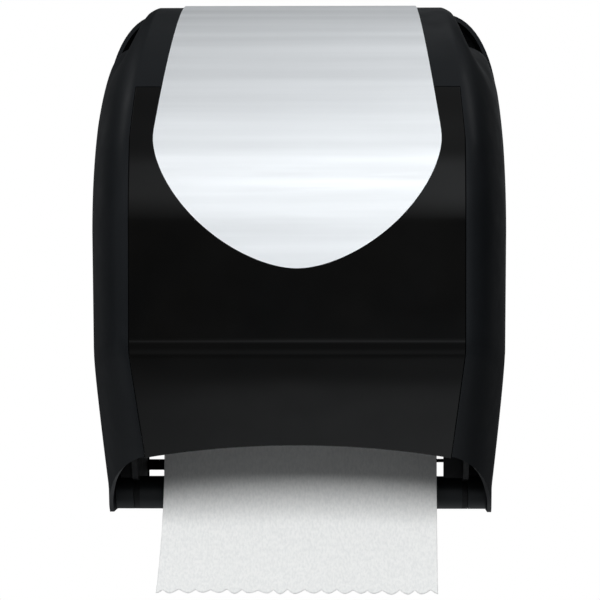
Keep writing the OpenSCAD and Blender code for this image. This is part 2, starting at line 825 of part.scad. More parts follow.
// Towel from the roll over the pinch roller, down through the nip and out of the slot
over_r = pinch_r + nip_gap + towel_t / 2;
roll_edge = roll_r + nip_gap + towel_t / 2;
run_u = [pinch_d - roll_d, feed_z - roll_z];
run_a = atan2(run_u[1], run_u[0]) + acos((roll_edge + over_r) / norm(run_u));
run_n = [cos(run_a), sin(run_a)];
leave = [roll_d, roll_z] + roll_edge * run_n;
arrive = [pinch_d, feed_z] - over_r * run_n;
turn_a = 180 + run_a;
bend_z = guide_low - 10;
fall = bend_z + hang;
bend_a = 2 * atan(hang_out / fall);
bend_r = fall / sin(bend_a);
towel_path = concat([for (k = [0 : 1]) mix(leave, arrive, k / 2)],
    [for (k = [0 : 4]) let (a = mix(turn_a, 180, k / 4)) [pinch_d, feed_z] + over_r * [cos(a), sin(a)]],
    [for (k = [0 : 8]) let (a = bend_a * k / 8)
        [towel_d + bend_r * (1 - cos(a)), bend_z - bend_r * sin(a)]]);
path_n = len(towel_path);
towel_cols = 4 * scallops;

function towel_normal(i) =
    let (v = towel_path[min(path_n - 1, i + 1)] - towel_path[max(0, i - 1)], u = v / norm(v))
    [-u[1], u[0]];

function towel_grid(o) = [for (i = [0 : path_n - 1])
    let (n = towel_normal(i), p = towel_path[i] + o * n, low = max(0, (i - path_n + 9) / 8),
        along = [n[1], -n[0]], spread = 4 * low * low)
    [for (k = [0 : towel_cols])
        let (x = mix(-roll_w / 2 - spread, roll_w / 2, k / towel_cols),
            c = i == path_n - 1 ? 1.5 * cos(90 * k) : 0)
        [x, -p[0] - c * along[0], p[1] + c * along[1]]]];

module towel_sheet() {
    color([0.82, 0.83, 0.82])
    thick_grid(towel_grid(towel_t / 2), towel_grid(-towel_t / 2),
        [for (i = [0 : path_n - 2]) [for (k = [0 : towel_cols - 1]) true]]);
}

// Battery box in front of the chute, four round cells in two rows
module battery_box() {
    color([0.1, 0.1, 0.105])
    difference() {
        block([box_x, box_x + box_w], [box_d, box_d + box_depth], [box_low, box_low + box_h]);
        block([box_x + box_wall, box_x + box_w - box_wall],
            [box_d + box_wall, box_d + box_depth - box_wall], [box_low + box_wall, box_low + box_h + 1]);
    }
}

module battery_lid() {
    z = box_low + box_h;
    color([0.13, 0.13, 0.135])
    difference() {
        block([box_x, box_x + box_w], [box_d, box_d + box_depth], [z, z + 2.4]);
        for (k = [0 : 4])
            block([box_x + box_w / 2 - 18, box_x + box_w / 2 + 18],
                [box_d + box_depth - 14 + 2.6 * k, box_d + box_depth - 12.8 + 2.6 * k], [z + 1.2, z + 3]);
    }
}

module battery_cells() {
    mid = box_x + box_w / 2;
    color([0.72, 0.52, 0.2])
    for (s = [-1, 1], k = [0, 1]) {
        d = box_d + box_wall + (k + 0.5) * box_in;
        z = box_low + box_wall + cell_dia / 2 + 0.05;
        tip = mid + s * (1 + cell_l);
        rod_x(cell_dia / 2, [min(mid + s, tip - s * 1.5), max(mid + s, tip - s * 1.5)], d, z);
        rod_x(5, [min(tip - s * 1.5, tip), max(tip - s * 1.5, tip)], d, z);
    }
}

module battery_contacts() {
    color([0.8, 0.8, 0.82])
    for (x = [box_x + box_wall, box_x + box_w - box_wall - 0.8]) {
        block([x, x + 0.8], [box_d + box_wall + 4, box_d + box_depth - box_wall - 4],
            [box_low + box_wall + 6, box_low + box_h - 6]);
        for (k = [0, 1])
            rod_x(4, [x < 0 ? x + 0.8 : x - 3.6, x < 0 ? x + 4.4 : x],
                box_d + box_wall + (k + 0.5) * box_in, box_low + box_wall + cell_dia / 2);
    }
}

// Control housing with the feed button and the towel length switch
panel_z = [box_low, box_low + box_h];
button_x = panel_x + 20;
button_z = (panel_z[0] + panel_z[1]) / 2;
switch_x = panel_end - 20;
chip_step = (panel_end - panel_x - 34) / 2;
face_t = 2.4;

module control_panel() {
    color([0.1, 0.1, 0.105])
    difference() {
        block([panel_x, panel_end], [box_d, panel_d], panel_z);
        block([panel_x + 2, panel_end - 2], [box_d - 1, panel_d - face_t], [panel_z[0] + 2, panel_z[1] - 2]);
        rod_y(button_r + 0.4, button_x, [box_d, panel_d + 1], button_z);
        block([switch_x - 10, switch_x + 10], [box_d, panel_d + 1], [button_z - 2.6, button_z + 2.6]);
    }
}

board_d = panel_d - face_t - 10;

module control_board() {
    color([0.05, 0.3, 0.14]) {
        block([panel_x + 2.1, panel_end - 2.1], [board_d, board_d + 1.6],
            [panel_z[0] + 2.1, panel_z[1] - 2.1]);
        block([switch_x - 12, switch_x + 12], [board_d + 1.6, board_d + 4.4], [button_z - 5, button_z + 5]);
        block([button_x - 4, button_x + 4], [board_d + 1.6, board_d + 4.4], [button_z - 4, button_z + 4]);
        for (k = [0 : 2])
            block([panel_x + 10 + chip_step * k, panel_x + 24 + chip_step * k], [board_d - 2, board_d],
                [button_z - 6, button_z + 6]);
    }
}

module feed_button() {
    color([0.12, 0.3, 0.55]) {
        rod_y(button_r, button_x, [panel_d - face_t, panel_d + button_travel + 0.7], button_z);
        rod_y(button_r + 2, button_x, [panel_d - face_t - 1.8, panel_d - face_t - 0.2], button_z);
        rod_y(2, button_x, [board_d + 4.6 + button_travel, panel_d - face_t], button_z);
    }
}

module length_switch() {
    color([0.7, 0.7, 0.7]) {
        block([switch_x - 2.5, switch_x + 2.5], [panel_d - face_t - 0.3, panel_d + 2.5],
            [button_z - 2.2, button_z + 2.2]);
        block([switch_x - 4.5, switch_x + 4.5], [board_d + 4.7, panel_d - face_t - 0.3],
            [button_z - 4.2, button_z + 4.2]);
    }
}

// Cover: frame, pane, steel panel and lock
module cover_frame() {
    color([0.05, 0.05, 0.055])
    thick_grid(frame_grid(0), frame_grid(wall), frame_keep);
}

module cover_window() {
    color([0.015, 0.015, 0.018])
    difference() {
        intersection() {
            front_shell(0, -pane_t);
            front_prism([crown_d + 40, body_d + 5])
                polygon(both_sides(concat(pane_low, pane_edge)));
        }
        side_prism([-half_w, half_w])
            translate([crown_d, nose_z])
                polygon([[0, 0], 2 * front_r * [cos(pane_top_a), sin(pane_top_a)], [0, 2 * front_r]]);
    }
}

module steel_panel() {
    color([0.72, 0.73, 0.74])
    intersection() {
        front_shell(panel_t + 0.1, 0.1);
        front_prism([crown_d - panel_back, body_d + 5])
            polygon(both_sides(concat(panel_low, panel_edge)));
    }
}

module lock_body() {
    color([0.08, 0.08, 0.085])
    difference() {
        block([-lock_half + 0.2, lock_half - 0.2], [lock_d - lock_half + 0.2, lock_d + lock_half - 0.2],
            [body_h - 12, lock_top]);
        rod_z(6 + run, 0, lock_d, [0, body_h + 9]);
    }
}

module lock_cylinder() {
    color([0.75, 0.75, 0.77])
    difference() {
        rod_z(6, 0, lock_d, [cam_z + cam_t, lock_top + 0.3]);
        block([-0.7, 0.7], [lock_d - 3.5, lock_d + 3.5], [lock_top - 3, lock_top + 1]);
    }
}

module lock_cam() {
    color([0.65, 0.65, 0.67]) {
        rod_z(7, 0, lock_d, [cam_z, cam_z + cam_t]);
        block([-4, 4], [lock_d - cam_r, lock_d], [cam_z, cam_z + cam_t]);
    }
}

module lock_keeper() {
    z = cam_z - 5;
    color([0.6, 0.6, 0.62]) {
        block([14, 26], [8, 26], [z, body_h - wall]);
        block([14, 26], [8, lock_d + 11], [z, z + 3]);
        block([14, 26], [lock_d + 7, lock_d + 11], [z, z + 11]);
    }
}

back_plate();
side_plate_left();
side_plate_right();
lower_bar();
hinge_pins();
rear_guide();
front_guide();
tear_blade();
roller_bushes();
pinch_bushes();
left_arm();
left_hub();
arm_bracket();
arm_pivot_pin();
gear_motor();
idler_stud();
gear_guard();
guard_screws();
chassis_screws();
battery_box();
battery_lid();
battery_cells();
battery_contacts();
control_panel();
control_board();
sensor_lens();
lock_keeper();
towel_sheet();
cover_frame();
cover_window();
steel_panel();
hinge_knuckles();
lock_body();
lock_cylinder();
lock_cam();
towel_roll();
roll_core();
right_arm();
right_hub();
drive_shaft();
drive_tyres();
roller_gear();
pinch_shaft();
pinch_tyres();
idler_gear();
motor_pinion();
feed_button();
length_switch();
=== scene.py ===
import collections
import math

import bmesh
import bpy
import numpy as np
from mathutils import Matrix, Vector


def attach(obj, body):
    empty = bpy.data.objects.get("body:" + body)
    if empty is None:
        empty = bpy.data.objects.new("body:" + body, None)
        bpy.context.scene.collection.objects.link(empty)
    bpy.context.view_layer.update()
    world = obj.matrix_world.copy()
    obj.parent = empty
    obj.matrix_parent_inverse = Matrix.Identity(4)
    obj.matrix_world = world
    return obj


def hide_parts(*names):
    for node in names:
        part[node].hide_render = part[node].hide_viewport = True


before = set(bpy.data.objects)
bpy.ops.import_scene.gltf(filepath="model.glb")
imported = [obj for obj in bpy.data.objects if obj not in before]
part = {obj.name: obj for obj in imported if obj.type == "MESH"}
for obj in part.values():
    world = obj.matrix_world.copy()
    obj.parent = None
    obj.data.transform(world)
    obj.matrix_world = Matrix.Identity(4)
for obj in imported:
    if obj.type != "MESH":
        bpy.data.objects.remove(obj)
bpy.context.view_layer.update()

# Studio: a long lens level with the middle of the case, and a pale floor well below the towel.
# A broad key lamp stands in front above the lens, and weak ones light the top and the back.
# The gloss shows two high cards and a room of soft bands; what lies behind the case is plain white.


def add_object(name, data):
    """Puts a camera, lamp or mesh into the scene."""
    made = bpy.data.objects.new(name, data)
    bpy.context.scene.collection.objects.link(made)
    return made


camera_turn = math.radians(1.05)
camera_reach = 2.0
camera_height = 0.1545
case_middle = 0.116
film_mm = 36
focal_px = 2774
frame_px = 600
camera = add_object("camera", bpy.data.cameras.new("camera"))
camera.location = (
    camera_reach * math.sin(camera_turn),
    -case_middle - camera_reach * math.cos(camera_turn),
    camera_height,
)
camera.rotation_euler = (math.pi / 2, 0, camera_turn)
camera.data.lens = film_mm * focal_px / frame_px
camera.data.clip_end = 50
bpy.context.scene.camera = camera
bpy.context.scene.view_settings.view_transform = "Standard"

lamp_aim = Vector((0, -0.12, 0.15))


def soft_lamp(name, place, wide, tall, level, gloss_only=False):
    """A soft lamp aimed at the case, or a card that shows only in its gloss; level 1 is a white face."""
    lamp = bpy.data.lights.new(name, "AREA")
    lamp.shape = "RECTANGLE"
    lamp.size = wide
    lamp.size_y = tall
    lamp.energy = level * math.pi * wide * tall
    held = add_object(name, lamp)
    held.location = place
    held.rotation_euler = (lamp_aim - Vector(place)).to_track_quat("-Z", "Y").to_euler()
    held.visible_camera = False
    held.visible_glossy = gloss_only
    held.visible_diffuse = not gloss_only


soft_lamp("key_lamp", (-0.2, -2.5, 1.12), 2.8, 0.9, 8.55)
soft_lamp("top_lamp", (0.0, 0.2, 2.4), 2.4, 1.6, 0.3)
soft_lamp("left_card", (-1.7, -0.5, 2.2), 0.9, 1.6, 2.6, gloss_only=True)
soft_lamp("right_card", (1.7, -0.5, 2.2), 0.9, 1.6, 2.6, gloss_only=True)
soft_lamp("back_lamp", (0.6, 2.4, 1.2), 2.4, 1.2, 1.6)


class Nodes:
    """A node tree under construction."""

    def __init__(self, tree):
        self.tree = tree

    def link(self, out, into):
        self.tree.links.new(out, into)

    def node(self, kind, *sources, **settings):
        """Adds a node; sources are (input, value or output) pairs, settings are the node's own."""
        made = self.tree.nodes.new(kind)
        for name, value in settings.items():
            setattr(made, name, value)
        for into, source in sources:
            if isinstance(source, bpy.types.NodeSocket):
                self.link(source, made.inputs[into])
            else:
                made.inputs[into].default_value = source
        return made

    def product(self, first, second):
        """One number times another."""
        return self.node("ShaderNodeMath", (0, first), (1, second), operation="MULTIPLY").outputs[0]


world = bpy.data.worlds.new("studio")
bpy.context.scene.world = world
world.use_nodes = True
world.node_tree.nodes.clear()
sky = Nodes(world.node_tree)


def tone_ramp(value, stops):
    """Greys over a value from 0 to 1."""
    ramp = sky.node("ShaderNodeValToRGB", ("Fac", value))
    for at, tone in stops[1:-1]:
        ramp.color_ramp.elements.new(at)
    for stop, (at, tone) in zip(ramp.color_ramp.elements, stops):
        stop.position = at
        stop.color = (tone, tone, tone, 1)
    return ramp.outputs["Color"]


# The room's tones by degrees above the level line, 0 in front of the case, 90 overhead and 180 behind it.
tilt_tones = [(-180, 0.04), (-120, 0.32), (-90, 0.76), (-58, 0.80), (-55, 0.66), (-53.3, 0.47),
              (-51.8, 0.28), (-50, 0.14), (-46, 0.14), (-40, 0.19), (-30, 0.40), (-20, 0.66),
              (-12, 0.95), (-5, 0.12), (1, 0.11), (6, 0.54), (13, 1.26), (30, 1.16), (37, 0.46),
              (43, 0.49), (52, 0.53), (62, 0.40), (80, 0.41), (100, 0.38), (122, 0.27), (143, 0.05),
              (180, 0.14)]
# The same across the room, from 0 at the far left to 1 at the far right.
side_tones = [(0.0, 0.36), (0.10, 0.38), (0.20, 0.54), (0.28, 0.52), (0.34, 0.20), (0.43, 0.20),
              (0.49, 1.0), (0.59, 1.0), (0.68, 0.12), (0.73, 0.46), (0.80, 0.46), (0.90, 0.10),
              (1.0, 0.10)]
room_gain = 2.42
room_tint = (0.965, 1.0, 1.03, 1)
fill_tint = (0.97, 0.985, 1, 1)
fill_level = 0.22
ray = sky.node("ShaderNodeLightPath").outputs
look = sky.node("ShaderNodeTexCoord").outputs["Generated"]
heading = sky.node("ShaderNodeSeparateXYZ", ("Vector", look)).outputs
forward = sky.product(heading["Y"], -1)
tilt = sky.node("ShaderNodeMath", (0, heading["Z"]), (1, forward), operation="ARCTAN2").outputs[0]
tilt_share = sky.node("ShaderNodeMapRange", ("Value", tilt), ("From Min", -math.pi), ("From Max", math.pi))
side_share = sky.node("ShaderNodeMapRange", ("Value", heading["X"]), ("From Min", -1))
bands = tone_ramp(tilt_share.outputs["Result"], [((at + 180) / 360, tone) for at, tone in tilt_tones])
sides = tone_ramp(side_share.outputs["Result"], side_tones)
room_level = sky.product(sky.product(bands, sides), room_gain)
room = sky.node("ShaderNodeBackground", ("Color", room_tint), ("Strength", room_level))
fill = sky.node("ShaderNodeBackground", ("Color", fill_tint), ("Strength", fill_level))
white = sky.node("ShaderNodeBackground", ("Color", (1, 1, 1, 1)))
lit = sky.node("ShaderNodeMixShader", (0, ray["Is Glossy Ray"]), (1, fill.outputs[0]), (2, room.outputs[0]))
plain = sky.node("ShaderNodeMath", (0, ray["Is Camera Ray"]), (1, ray["Is Transmission Ray"]),
                 operation="MAXIMUM")
seen = sky.node("ShaderNodeMixShader", (0, plain.outputs[0]), (1, lit.outputs[0]), (2, white.outputs[0]))
sky.node("ShaderNodeOutputWorld", ("Surface", seen.outputs[0]))


class Finish(Nodes):
    """One material: its Principled shader, and short calls that add procedural detail."""

    def __init__(self, name, colour, rough, metal=0.0):
        self.material = bpy.data.materials.new(name)
        self.material.use_nodes = True
        super().__init__(self.material.node_tree)
        self.shader = self.tree.nodes["Principled BSDF"]
        self.colour = colour
        self.rough = rough
        self.relief = None
        self.place = self.node("ShaderNodeTexCoord").outputs["Object"]
        self.set(Base_Color=(*colour, 1), Roughness=rough, Metallic=metal)

    def set(self, **values):
        """Plain values for the shader's own sockets."""
        for name, value in values.items():
            self.shader.inputs[name.replace("_", " ")].default_value = value
        return self

    def mapped(self, stretch=(1, 1, 1), shift=(0, 0, 0)):
        """The object's own metres, moved and stretched."""
        made = self.node("ShaderNodeMapping", ("Vector", self.place), ("Scale", stretch), ("Location", shift))
        return made.outputs["Vector"]

    def noise(self, per_mm, stretch=(1, 1, 1), detail=3.0):
        """Cloudy noise; per_mm is how many grains lie in a millimetre."""
        made = self.node("ShaderNodeTexNoise", ("Vector", self.mapped(stretch)), ("Scale", per_mm * 1000),
                         ("Detail", detail))
        return made.outputs["Fac"]

    def vary_rough(self, value, by):
        """Lets the roughness wander this far to each side."""
        made = self.node("ShaderNodeMapRange", ("Value", value), ("From Min", 0.3), ("From Max", 0.7),
                         ("To Min", max(0.02, self.rough - by)), ("To Max", self.rough + by))
        self.link(made.outputs["Result"], self.shader.inputs["Roughness"])

    def vary_colour(self, value, other, start=0.3, end=0.7):
        """Lets the colour wander to another one where the value is high."""
        ramp = self.node("ShaderNodeValToRGB", ("Fac", value))
        low, high = ramp.color_ramp.elements
        low.position = start
        low.color = (*self.colour, 1)
        high.position = end
        high.color = (*other, 1)
        self.link(ramp.outputs["Color"], self.shader.inputs["Base Color"])

    def bump(self, value, height_mm, strength=1.0):
        """Adds relief to what is there already."""
        made = self.node("ShaderNodeBump", ("Height", value), ("Strength", strength),
                         ("Distance", height_mm * 0.001))
        if self.relief:
            self.link(self.relief, made.inputs["Normal"])
        self.relief = made.outputs["Normal"]
        self.link(self.relief, self.shader.inputs["Normal"])


floor_half = 2.4
floor_z = -0.45
floor_corners = [(-1, -1), (1, -1), (1, 1), (-1, 1)]
floor_mesh = bpy.data.meshes.new("floor")
floor_points = [(x * floor_half, y * floor_half, floor_z) for x, y in floor_corners]
floor_mesh.from_pydata(floor_points, [], [(0, 1, 2, 3)])
floor = add_object("floor", floor_mesh)
floor.visible_glossy = False
pale_floor = Finish("pale_floor", (0.86, 0.86, 0.86), 0.8)
pale_floor.vary_rough(pale_floor.noise(0.01), 0.05)
# The floor looks pale but throws little light back up at the case.
dull = pale_floor.node("ShaderNodeBsdfDiffuse", ("Color", (0.10, 0.10, 0.10, 1)))
floor_ray = pale_floor.node("ShaderNodeLightPath")
floor_mix = pale_floor.node("ShaderNodeMixShader", (0, floor_ray.outputs["Is Diffuse Ray"]),
                            (1, pale_floor.shader.outputs["BSDF"]), (2, dull.outputs["BSDF"]))
pale_floor.link(floor_mix.outputs[0], pale_floor.tree.nodes["Material Output"].inputs["Surface"])
floor_mesh.materials.append(pale_floor.material)

# Wall housing: the moulded back plate with its rim, hung on four wall screws through its bosses.
# Satin black plastic with a fine spark-eroded grain and faint clouds of tone.


def dress(finish, *names):
    """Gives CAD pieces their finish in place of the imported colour."""
    for name in names:
        part[name].data.materials.clear()
        part[name].data.materials.append(finish.material)


satin_black = Finish("satin_black_plastic", (0.0047, 0.0055, 0.0065), 0.42).set(Specular_IOR_Level=0.11)
satin_black.vary_colour(satin_black.noise(0.02, detail=2), (0.0062, 0.0071, 0.0083))
satin_black.vary_rough(satin_black.noise(0.06), 0.05)
satin_black.bump(satin_black.noise(3.0, detail=2), 0.015, 0.5)
dress(satin_black, "back_plate")

# Side plates: two glass-filled plates that carry the rollers, the bar and the arms.
# Each has a flange at its rear edge, held to the wall housing by two screws.
plate_black = Finish("glass_filled_plastic", (0.005, 0.005, 0.0055), 0.55).set(Specular_IOR_Level=0.12)
plate_black.vary_colour(plate_black.noise(0.05, (1, 1, 6)), (0.008, 0.008, 0.0085))
plate_black.vary_rough(plate_black.noise(0.2), 0.08)
plate_black.bump(plate_black.noise(1.6, detail=4), 0.03, 0.5)
dress(plate_black, "side_plate_left", "side_plate_right")

# Chassis screws: zinc-plated pan heads with a cross recess, each turned as it was driven.
# One tree makes a screw from its sizes and sets it on every place it is given, here and on the gear guard.
zinc_steel = Finish("zinc_plated_steel", (0.60, 0.60, 0.60), 0.3, 1.0)
zinc_steel.vary_colour(zinc_steel.noise(0.15), (0.50, 0.51, 0.53))
zinc_steel.vary_rough(zinc_steel.noise(0.6, (6, 1, 1)), 0.1)
zinc_steel.bump(zinc_steel.noise(2.0, (6, 0.3, 0.3)), 0.005, 0.5)


class ShapeTree(Nodes):
    """A Geometry Nodes tree with a named input for each size, in metres, radians or counts."""

    kinds = {tuple: "NodeSocketVector", int: "NodeSocketInt", float: "NodeSocketFloat"}

    def __init__(self, name, **sizes):
        super().__init__(bpy.data.node_groups.new(name, "GeometryNodeTree"))
        self.sizes = sizes
        self.keys = {}
        self.socket("Geometry", "INPUT", "NodeSocketGeometry")
        for size, value in sizes.items():
            self.keys[size] = self.socket(size, "INPUT", self.kinds[type(value)]).identifier
        self.socket("Geometry", "OUTPUT", "NodeSocketGeometry")
        self.given = self.node("NodeGroupInput")
        self.result = self.node("NodeGroupOutput")

    def socket(self, name, way, kind):
        return self.tree.interface.new_socket(name, in_out=way, socket_type=kind)

    def size(self, name):
        return self.given.outputs[name]

    def vector(self, **values):
        """A vector from X, Y and Z; one that is left out is zero."""
        return self.node("ShaderNodeCombineXYZ", *values.items()).outputs[0]

    def moved(self, shape, by):
        return self.node("GeometryNodeTransform", ("Geometry", shape), ("Translation", by)).outputs[0]

    def set_on_places(self, shape, *sources):
        """One copy of the shape on every point that the tree is given."""
        return self.node("GeometryNodeInstanceOnPoints", ("Points", self.size("Geometry")),
                         ("Instance", shape), *sources).outputs[0]

    def close(self, shape, finish):
        """Ends the tree in real faces that carry one finish."""
        real = self.node("GeometryNodeRealizeInstances", ("Geometry", shape))
        coated = self.node("GeometryNodeSetMaterial", ("Geometry", real.outputs[0]),
                           ("Material", finish.material))
        self.link(coated.outputs[0], self.result.inputs[0])

    def grow(self, name, places_mm, **changed):
        """Runs the tree on points of width, depth and height, and returns a plain mesh object."""
        seed = bpy.data.meshes.new(name + "_places")
        seed.from_pydata([(x * 0.001, -d * 0.001, z * 0.001) for x, d, z in places_mm], [], [])
        host = add_object(name + "_places", seed)
        maker = host.modifiers.new("maker", "NODES")
        maker.node_group = self.tree
        for size, value in self.sizes.items():
            maker[self.keys[size]] = changed.get(size, value)
        grown = host.evaluated_get(bpy.context.evaluated_depsgraph_get())
        mesh = bpy.data.meshes.new_from_object(grown)
        mesh.name = name
        bpy.data.objects.remove(host)
        return add_object(name, mesh)


screw = ShapeTree("pan_head_screw", head_radius=0.0032, head_height=0.002, shank_radius=0.0015,
                  shank_length=0.0056, recess=0.0009, lean=(0.0, 0.0, 0.0), spin_seed=4)
head_radius = screw.size("head_radius")
head_height = screw.size("head_height")
crown_share = 0.72
head = screw.node("GeometryNodeMeshCone", ("Vertices", 28), ("Radius Bottom", head_radius),
                  ("Radius Top", screw.product(head_radius, crown_share)), ("Depth", head_height))
recess = screw.size("recess")
cut_long = screw.product(head_radius, 1.15)
cut_deep = screw.product(head_height, 1.3)
cross = screw.node("GeometryNodeJoinGeometry")
for wide, tall in ((cut_long, recess), (recess, cut_long)):
    cut = screw.node("GeometryNodeMeshCube", ("Size", screw.vector(X=wide, Y=tall, Z=cut_deep)))
    screw.link(screw.moved(cut.outputs[0], screw.vector(Z=head_height)), cross.inputs[0])
recessed = screw.node("GeometryNodeMeshBoolean", (0, head.outputs["Mesh"]), ("Mesh 2", cross.outputs[0]),
                      operation="DIFFERENCE")
shank_length = screw.size("shank_length")
shank = screw.node("GeometryNodeMeshCylinder", ("Vertices", 16), ("Radius", screw.size("shank_radius")),
                   ("Depth", shank_length))
half_down = screw.vector(Z=screw.product(shank_length, -0.5))
whole = screw.node("GeometryNodeJoinGeometry")
screw.link(recessed.outputs["Mesh"], whole.inputs[0])
screw.link(screw.moved(shank.outputs["Mesh"], half_down), whole.inputs[0])
placed = screw.set_on_places(whole.outputs[0], ("Rotation", screw.size("lean")))
most_spin = 1.5
spin = screw.node("FunctionNodeRandomValue", ("Seed", screw.size("spin_seed")), (3, most_spin),
                  data_type="FLOAT")
driven = screw.node("GeometryNodeRotateInstances", ("Instances", placed),
                    ("Rotation", screw.vector(Z=spin.outputs[1])))
screw.close(driven.outputs[0], zinc_steel)
chassis_screws = screw.grow("chassis_screws_shown", [(s * 110, 6, z) for s in (-1, 1) for z in (78, 128)],
                            lean=(math.pi / 2, 0.0, 0.0))
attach(chassis_screws, "chassis")
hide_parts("chassis_screws")

# Lower bar: a round rail of satin plastic with the floor pan behind it, between the side plates.
# Its face is drawn along its length, and two steel pins in its ends carry the cover.
bar_black = Finish("satin_bar_plastic", (0.0150, 0.0170, 0.0184), 0.46).set(Specular_IOR_Level=0.14)
bar_black.vary_rough(bar_black.noise(0.08, (0.1, 1, 1)), 0.05)
bar_black.bump(bar_black.noise(0.5, (0.05, 1, 1)), 0.01, 0.3)
dress(bar_black, "lower_bar")
dress(zinc_steel, "hinge_pins")

# Sensor lens: a plug of dark red filter plastic let into the floor pan.
# Its lower face is polished and looks down beside the towel.
lens_red = Finish("filter_red", (0.03, 0.003, 0.005), 0.12).set(Coat_Weight=0.5)
lens_red.vary_rough(lens_red.noise(0.3), 0.03)
dress(lens_red, "sensor_lens")

# Chute and tear blade: two moulded guides on either side of the towel, and a toothed steel strip.
# The blade lies flat on the front guide's lower edge, ground along its length.
dress(plate_black, "rear_guide", "front_guide")
blade_steel = Finish("ground_blade_steel", (0.55, 0.55, 0.56), 0.26, 1.0)
blade_steel.vary_colour(blade_steel.noise(0.1, (0.2, 1, 1)), (0.66, 0.66, 0.67))
blade_steel.bump(blade_steel.noise(3.0, (0.1, 1, 3)), 0.006, 0.5)
dress(blade_steel, "tear_blade")

# Rollers: steel shafts in pressed acetal bushes, each with five ribbed rubber tyres bonded on.
# The dark drive tyres pull the towel and the greyer pinch tyres hold it against them.
dress(zinc_steel, "drive_shaft", "pinch_shaft")
acetal = Finish("natural_acetal", (0.72, 0.71, 0.66), 0.4)
acetal.vary_colour(acetal.noise(0.2), (0.78, 0.77, 0.73))
acetal.bump(acetal.noise(1.0), 0.01, 0.4)
dress(acetal, "roller_bushes", "pinch_bushes")


def ribbed_tyre(name, finish):
    """A tree for tyres along X: a tube whose round profile is notched into ribs, set on every place."""
    tyre = ShapeTree(name, radius=0.014, width=0.03, ribs=44, rib_height=0.0007)
    radius = tyre.size("radius")
    width = tyre.size("width")
    steps_per_rib = 4.0
    steps = tyre.product(tyre.size("ribs"), steps_per_rib)
    ring = tyre.node("GeometryNodeCurvePrimitiveCircle", ("Resolution", steps), ("Radius", radius))
    order = tyre.node("GeometryNodeInputIndex")
    step = tyre.node("ShaderNodeMath", (0, order.outputs[0]), (1, steps_per_rib), operation="MODULO")
    groove = tyre.node("ShaderNodeMath", (0, step.outputs[0]), (1, 1.5), operation="GREATER_THAN")
    deep = tyre.product(groove.outputs[0], tyre.size("rib_height"))
    deep_share = tyre.node("ShaderNodeMath", (0, deep), (1, radius), operation="DIVIDE")
    spot = tyre.node("GeometryNodeInputPosition")
    inward = tyre.node("ShaderNodeVectorMath", (0, spot.outputs[0]),
                       ("Scale", tyre.product(deep_share.outputs[0], -1.0)), operation="SCALE")
    notched = tyre.node("GeometryNodeSetPosition", ("Geometry", ring.outputs["Curve"]),
                        ("Offset", inward.outputs[0]))
    line = tyre.node("GeometryNodeCurvePrimitiveLine", ("Start", tyre.vector(X=tyre.product(width, -0.5))),
                     ("End", tyre.vector(X=tyre.product(width, 0.5))))
    tube = tyre.node("GeometryNodeCurveToMesh", ("Curve", line.outputs[0]),
                     ("Profile Curve", notched.outputs[0]), ("Fill Caps", True))
    tyre.close(tyre.set_on_places(tube.outputs[0]), finish)
    return tyre


roller_height = 82.0
drive_depth = 84.0
pinch_depth = 109.2
drive_rubber = Finish("drive_rubber", (0.018, 0.018, 0.018), 0.75)
drive_rubber.vary_colour(drive_rubber.noise(0.3), (0.028, 0.027, 0.026))
drive_rubber.bump(drive_rubber.noise(1.2, (0.3, 1, 1)), 0.05, 0.5)
drive_tyres = ribbed_tyre("drive_tyre", drive_rubber).grow(
    "drive_tyres_shown", [((k - 2) * 40.5, drive_depth, roller_height) for k in range(5)])
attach(drive_tyres, "drive_roller")
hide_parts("drive_tyres")
pinch_rubber = Finish("pinch_rubber", (0.06, 0.06, 0.063), 0.7)
pinch_rubber.vary_colour(pinch_rubber.noise(0.3), (0.08, 0.08, 0.08))
pinch_rubber.bump(pinch_rubber.noise(1.2, (0.3, 1, 1)), 0.05, 0.5)
pinch_tyres = ribbed_tyre("pinch_tyre", pinch_rubber).grow(
    "pinch_tyres_shown", [((k - 2) * 42.0, pinch_depth, roller_height) for k in range(5)],
    radius=0.010, width=0.024, ribs=32, rib_height=0.0005)
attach(pinch_tyres, "pinch_roller")
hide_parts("pinch_tyres")

# Gear train: a brass pinion on the geared motor, an acetal idler on a steel stud, and the roller gear.
# It runs outside the right plate under a moulded guard with four screws.
dress(acetal, "roller_gear", "idler_gear")
dress(zinc_steel, "idler_stud")
brass = Finish("cut_brass", (0.72, 0.52, 0.22), 0.28, 1.0)
brass.vary_colour(brass.noise(0.4), (0.62, 0.44, 0.18))
brass.vary_rough(brass.noise(1.5, (4, 1, 1)), 0.08)
dress(brass, "motor_pinion")
motor_can = Finish("motor_can_plate", (0.52, 0.52, 0.53), 0.34, 1.0)
motor_can.vary_colour(motor_can.noise(0.1, (0.3, 1, 1)), (0.60, 0.60, 0.61))
motor_can.bump(motor_can.noise(1.5, (6, 0.3, 0.3)), 0.006, 0.5)
dress(motor_can, "gear_motor")
inner_black = Finish("moulded_inner_plastic", (0.020, 0.020, 0.022), 0.5).set(Specular_IOR_Level=0.4)
inner_black.vary_colour(inner_black.noise(0.04, (1, 1, 3)), (0.028, 0.028, 0.030))
inner_black.vary_rough(inner_black.noise(0.2), 0.08)
inner_black.bump(inner_black.noise(1.6, detail=4), 0.03, 0.5)
dress(inner_black, "gear_guard")
guard_face = 133.4
guard_screws = screw.grow(
    "guard_screws_shown", [(guard_face, d, z) for d in (13.1, 106.0) for z in (61.0, 103.0)],
    lean=(0.0, math.pi / 2, 0.0), head_radius=0.0028, head_height=0.0016, shank_length=0.0154)
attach(guard_screws, "chassis")
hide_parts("guard_screws")

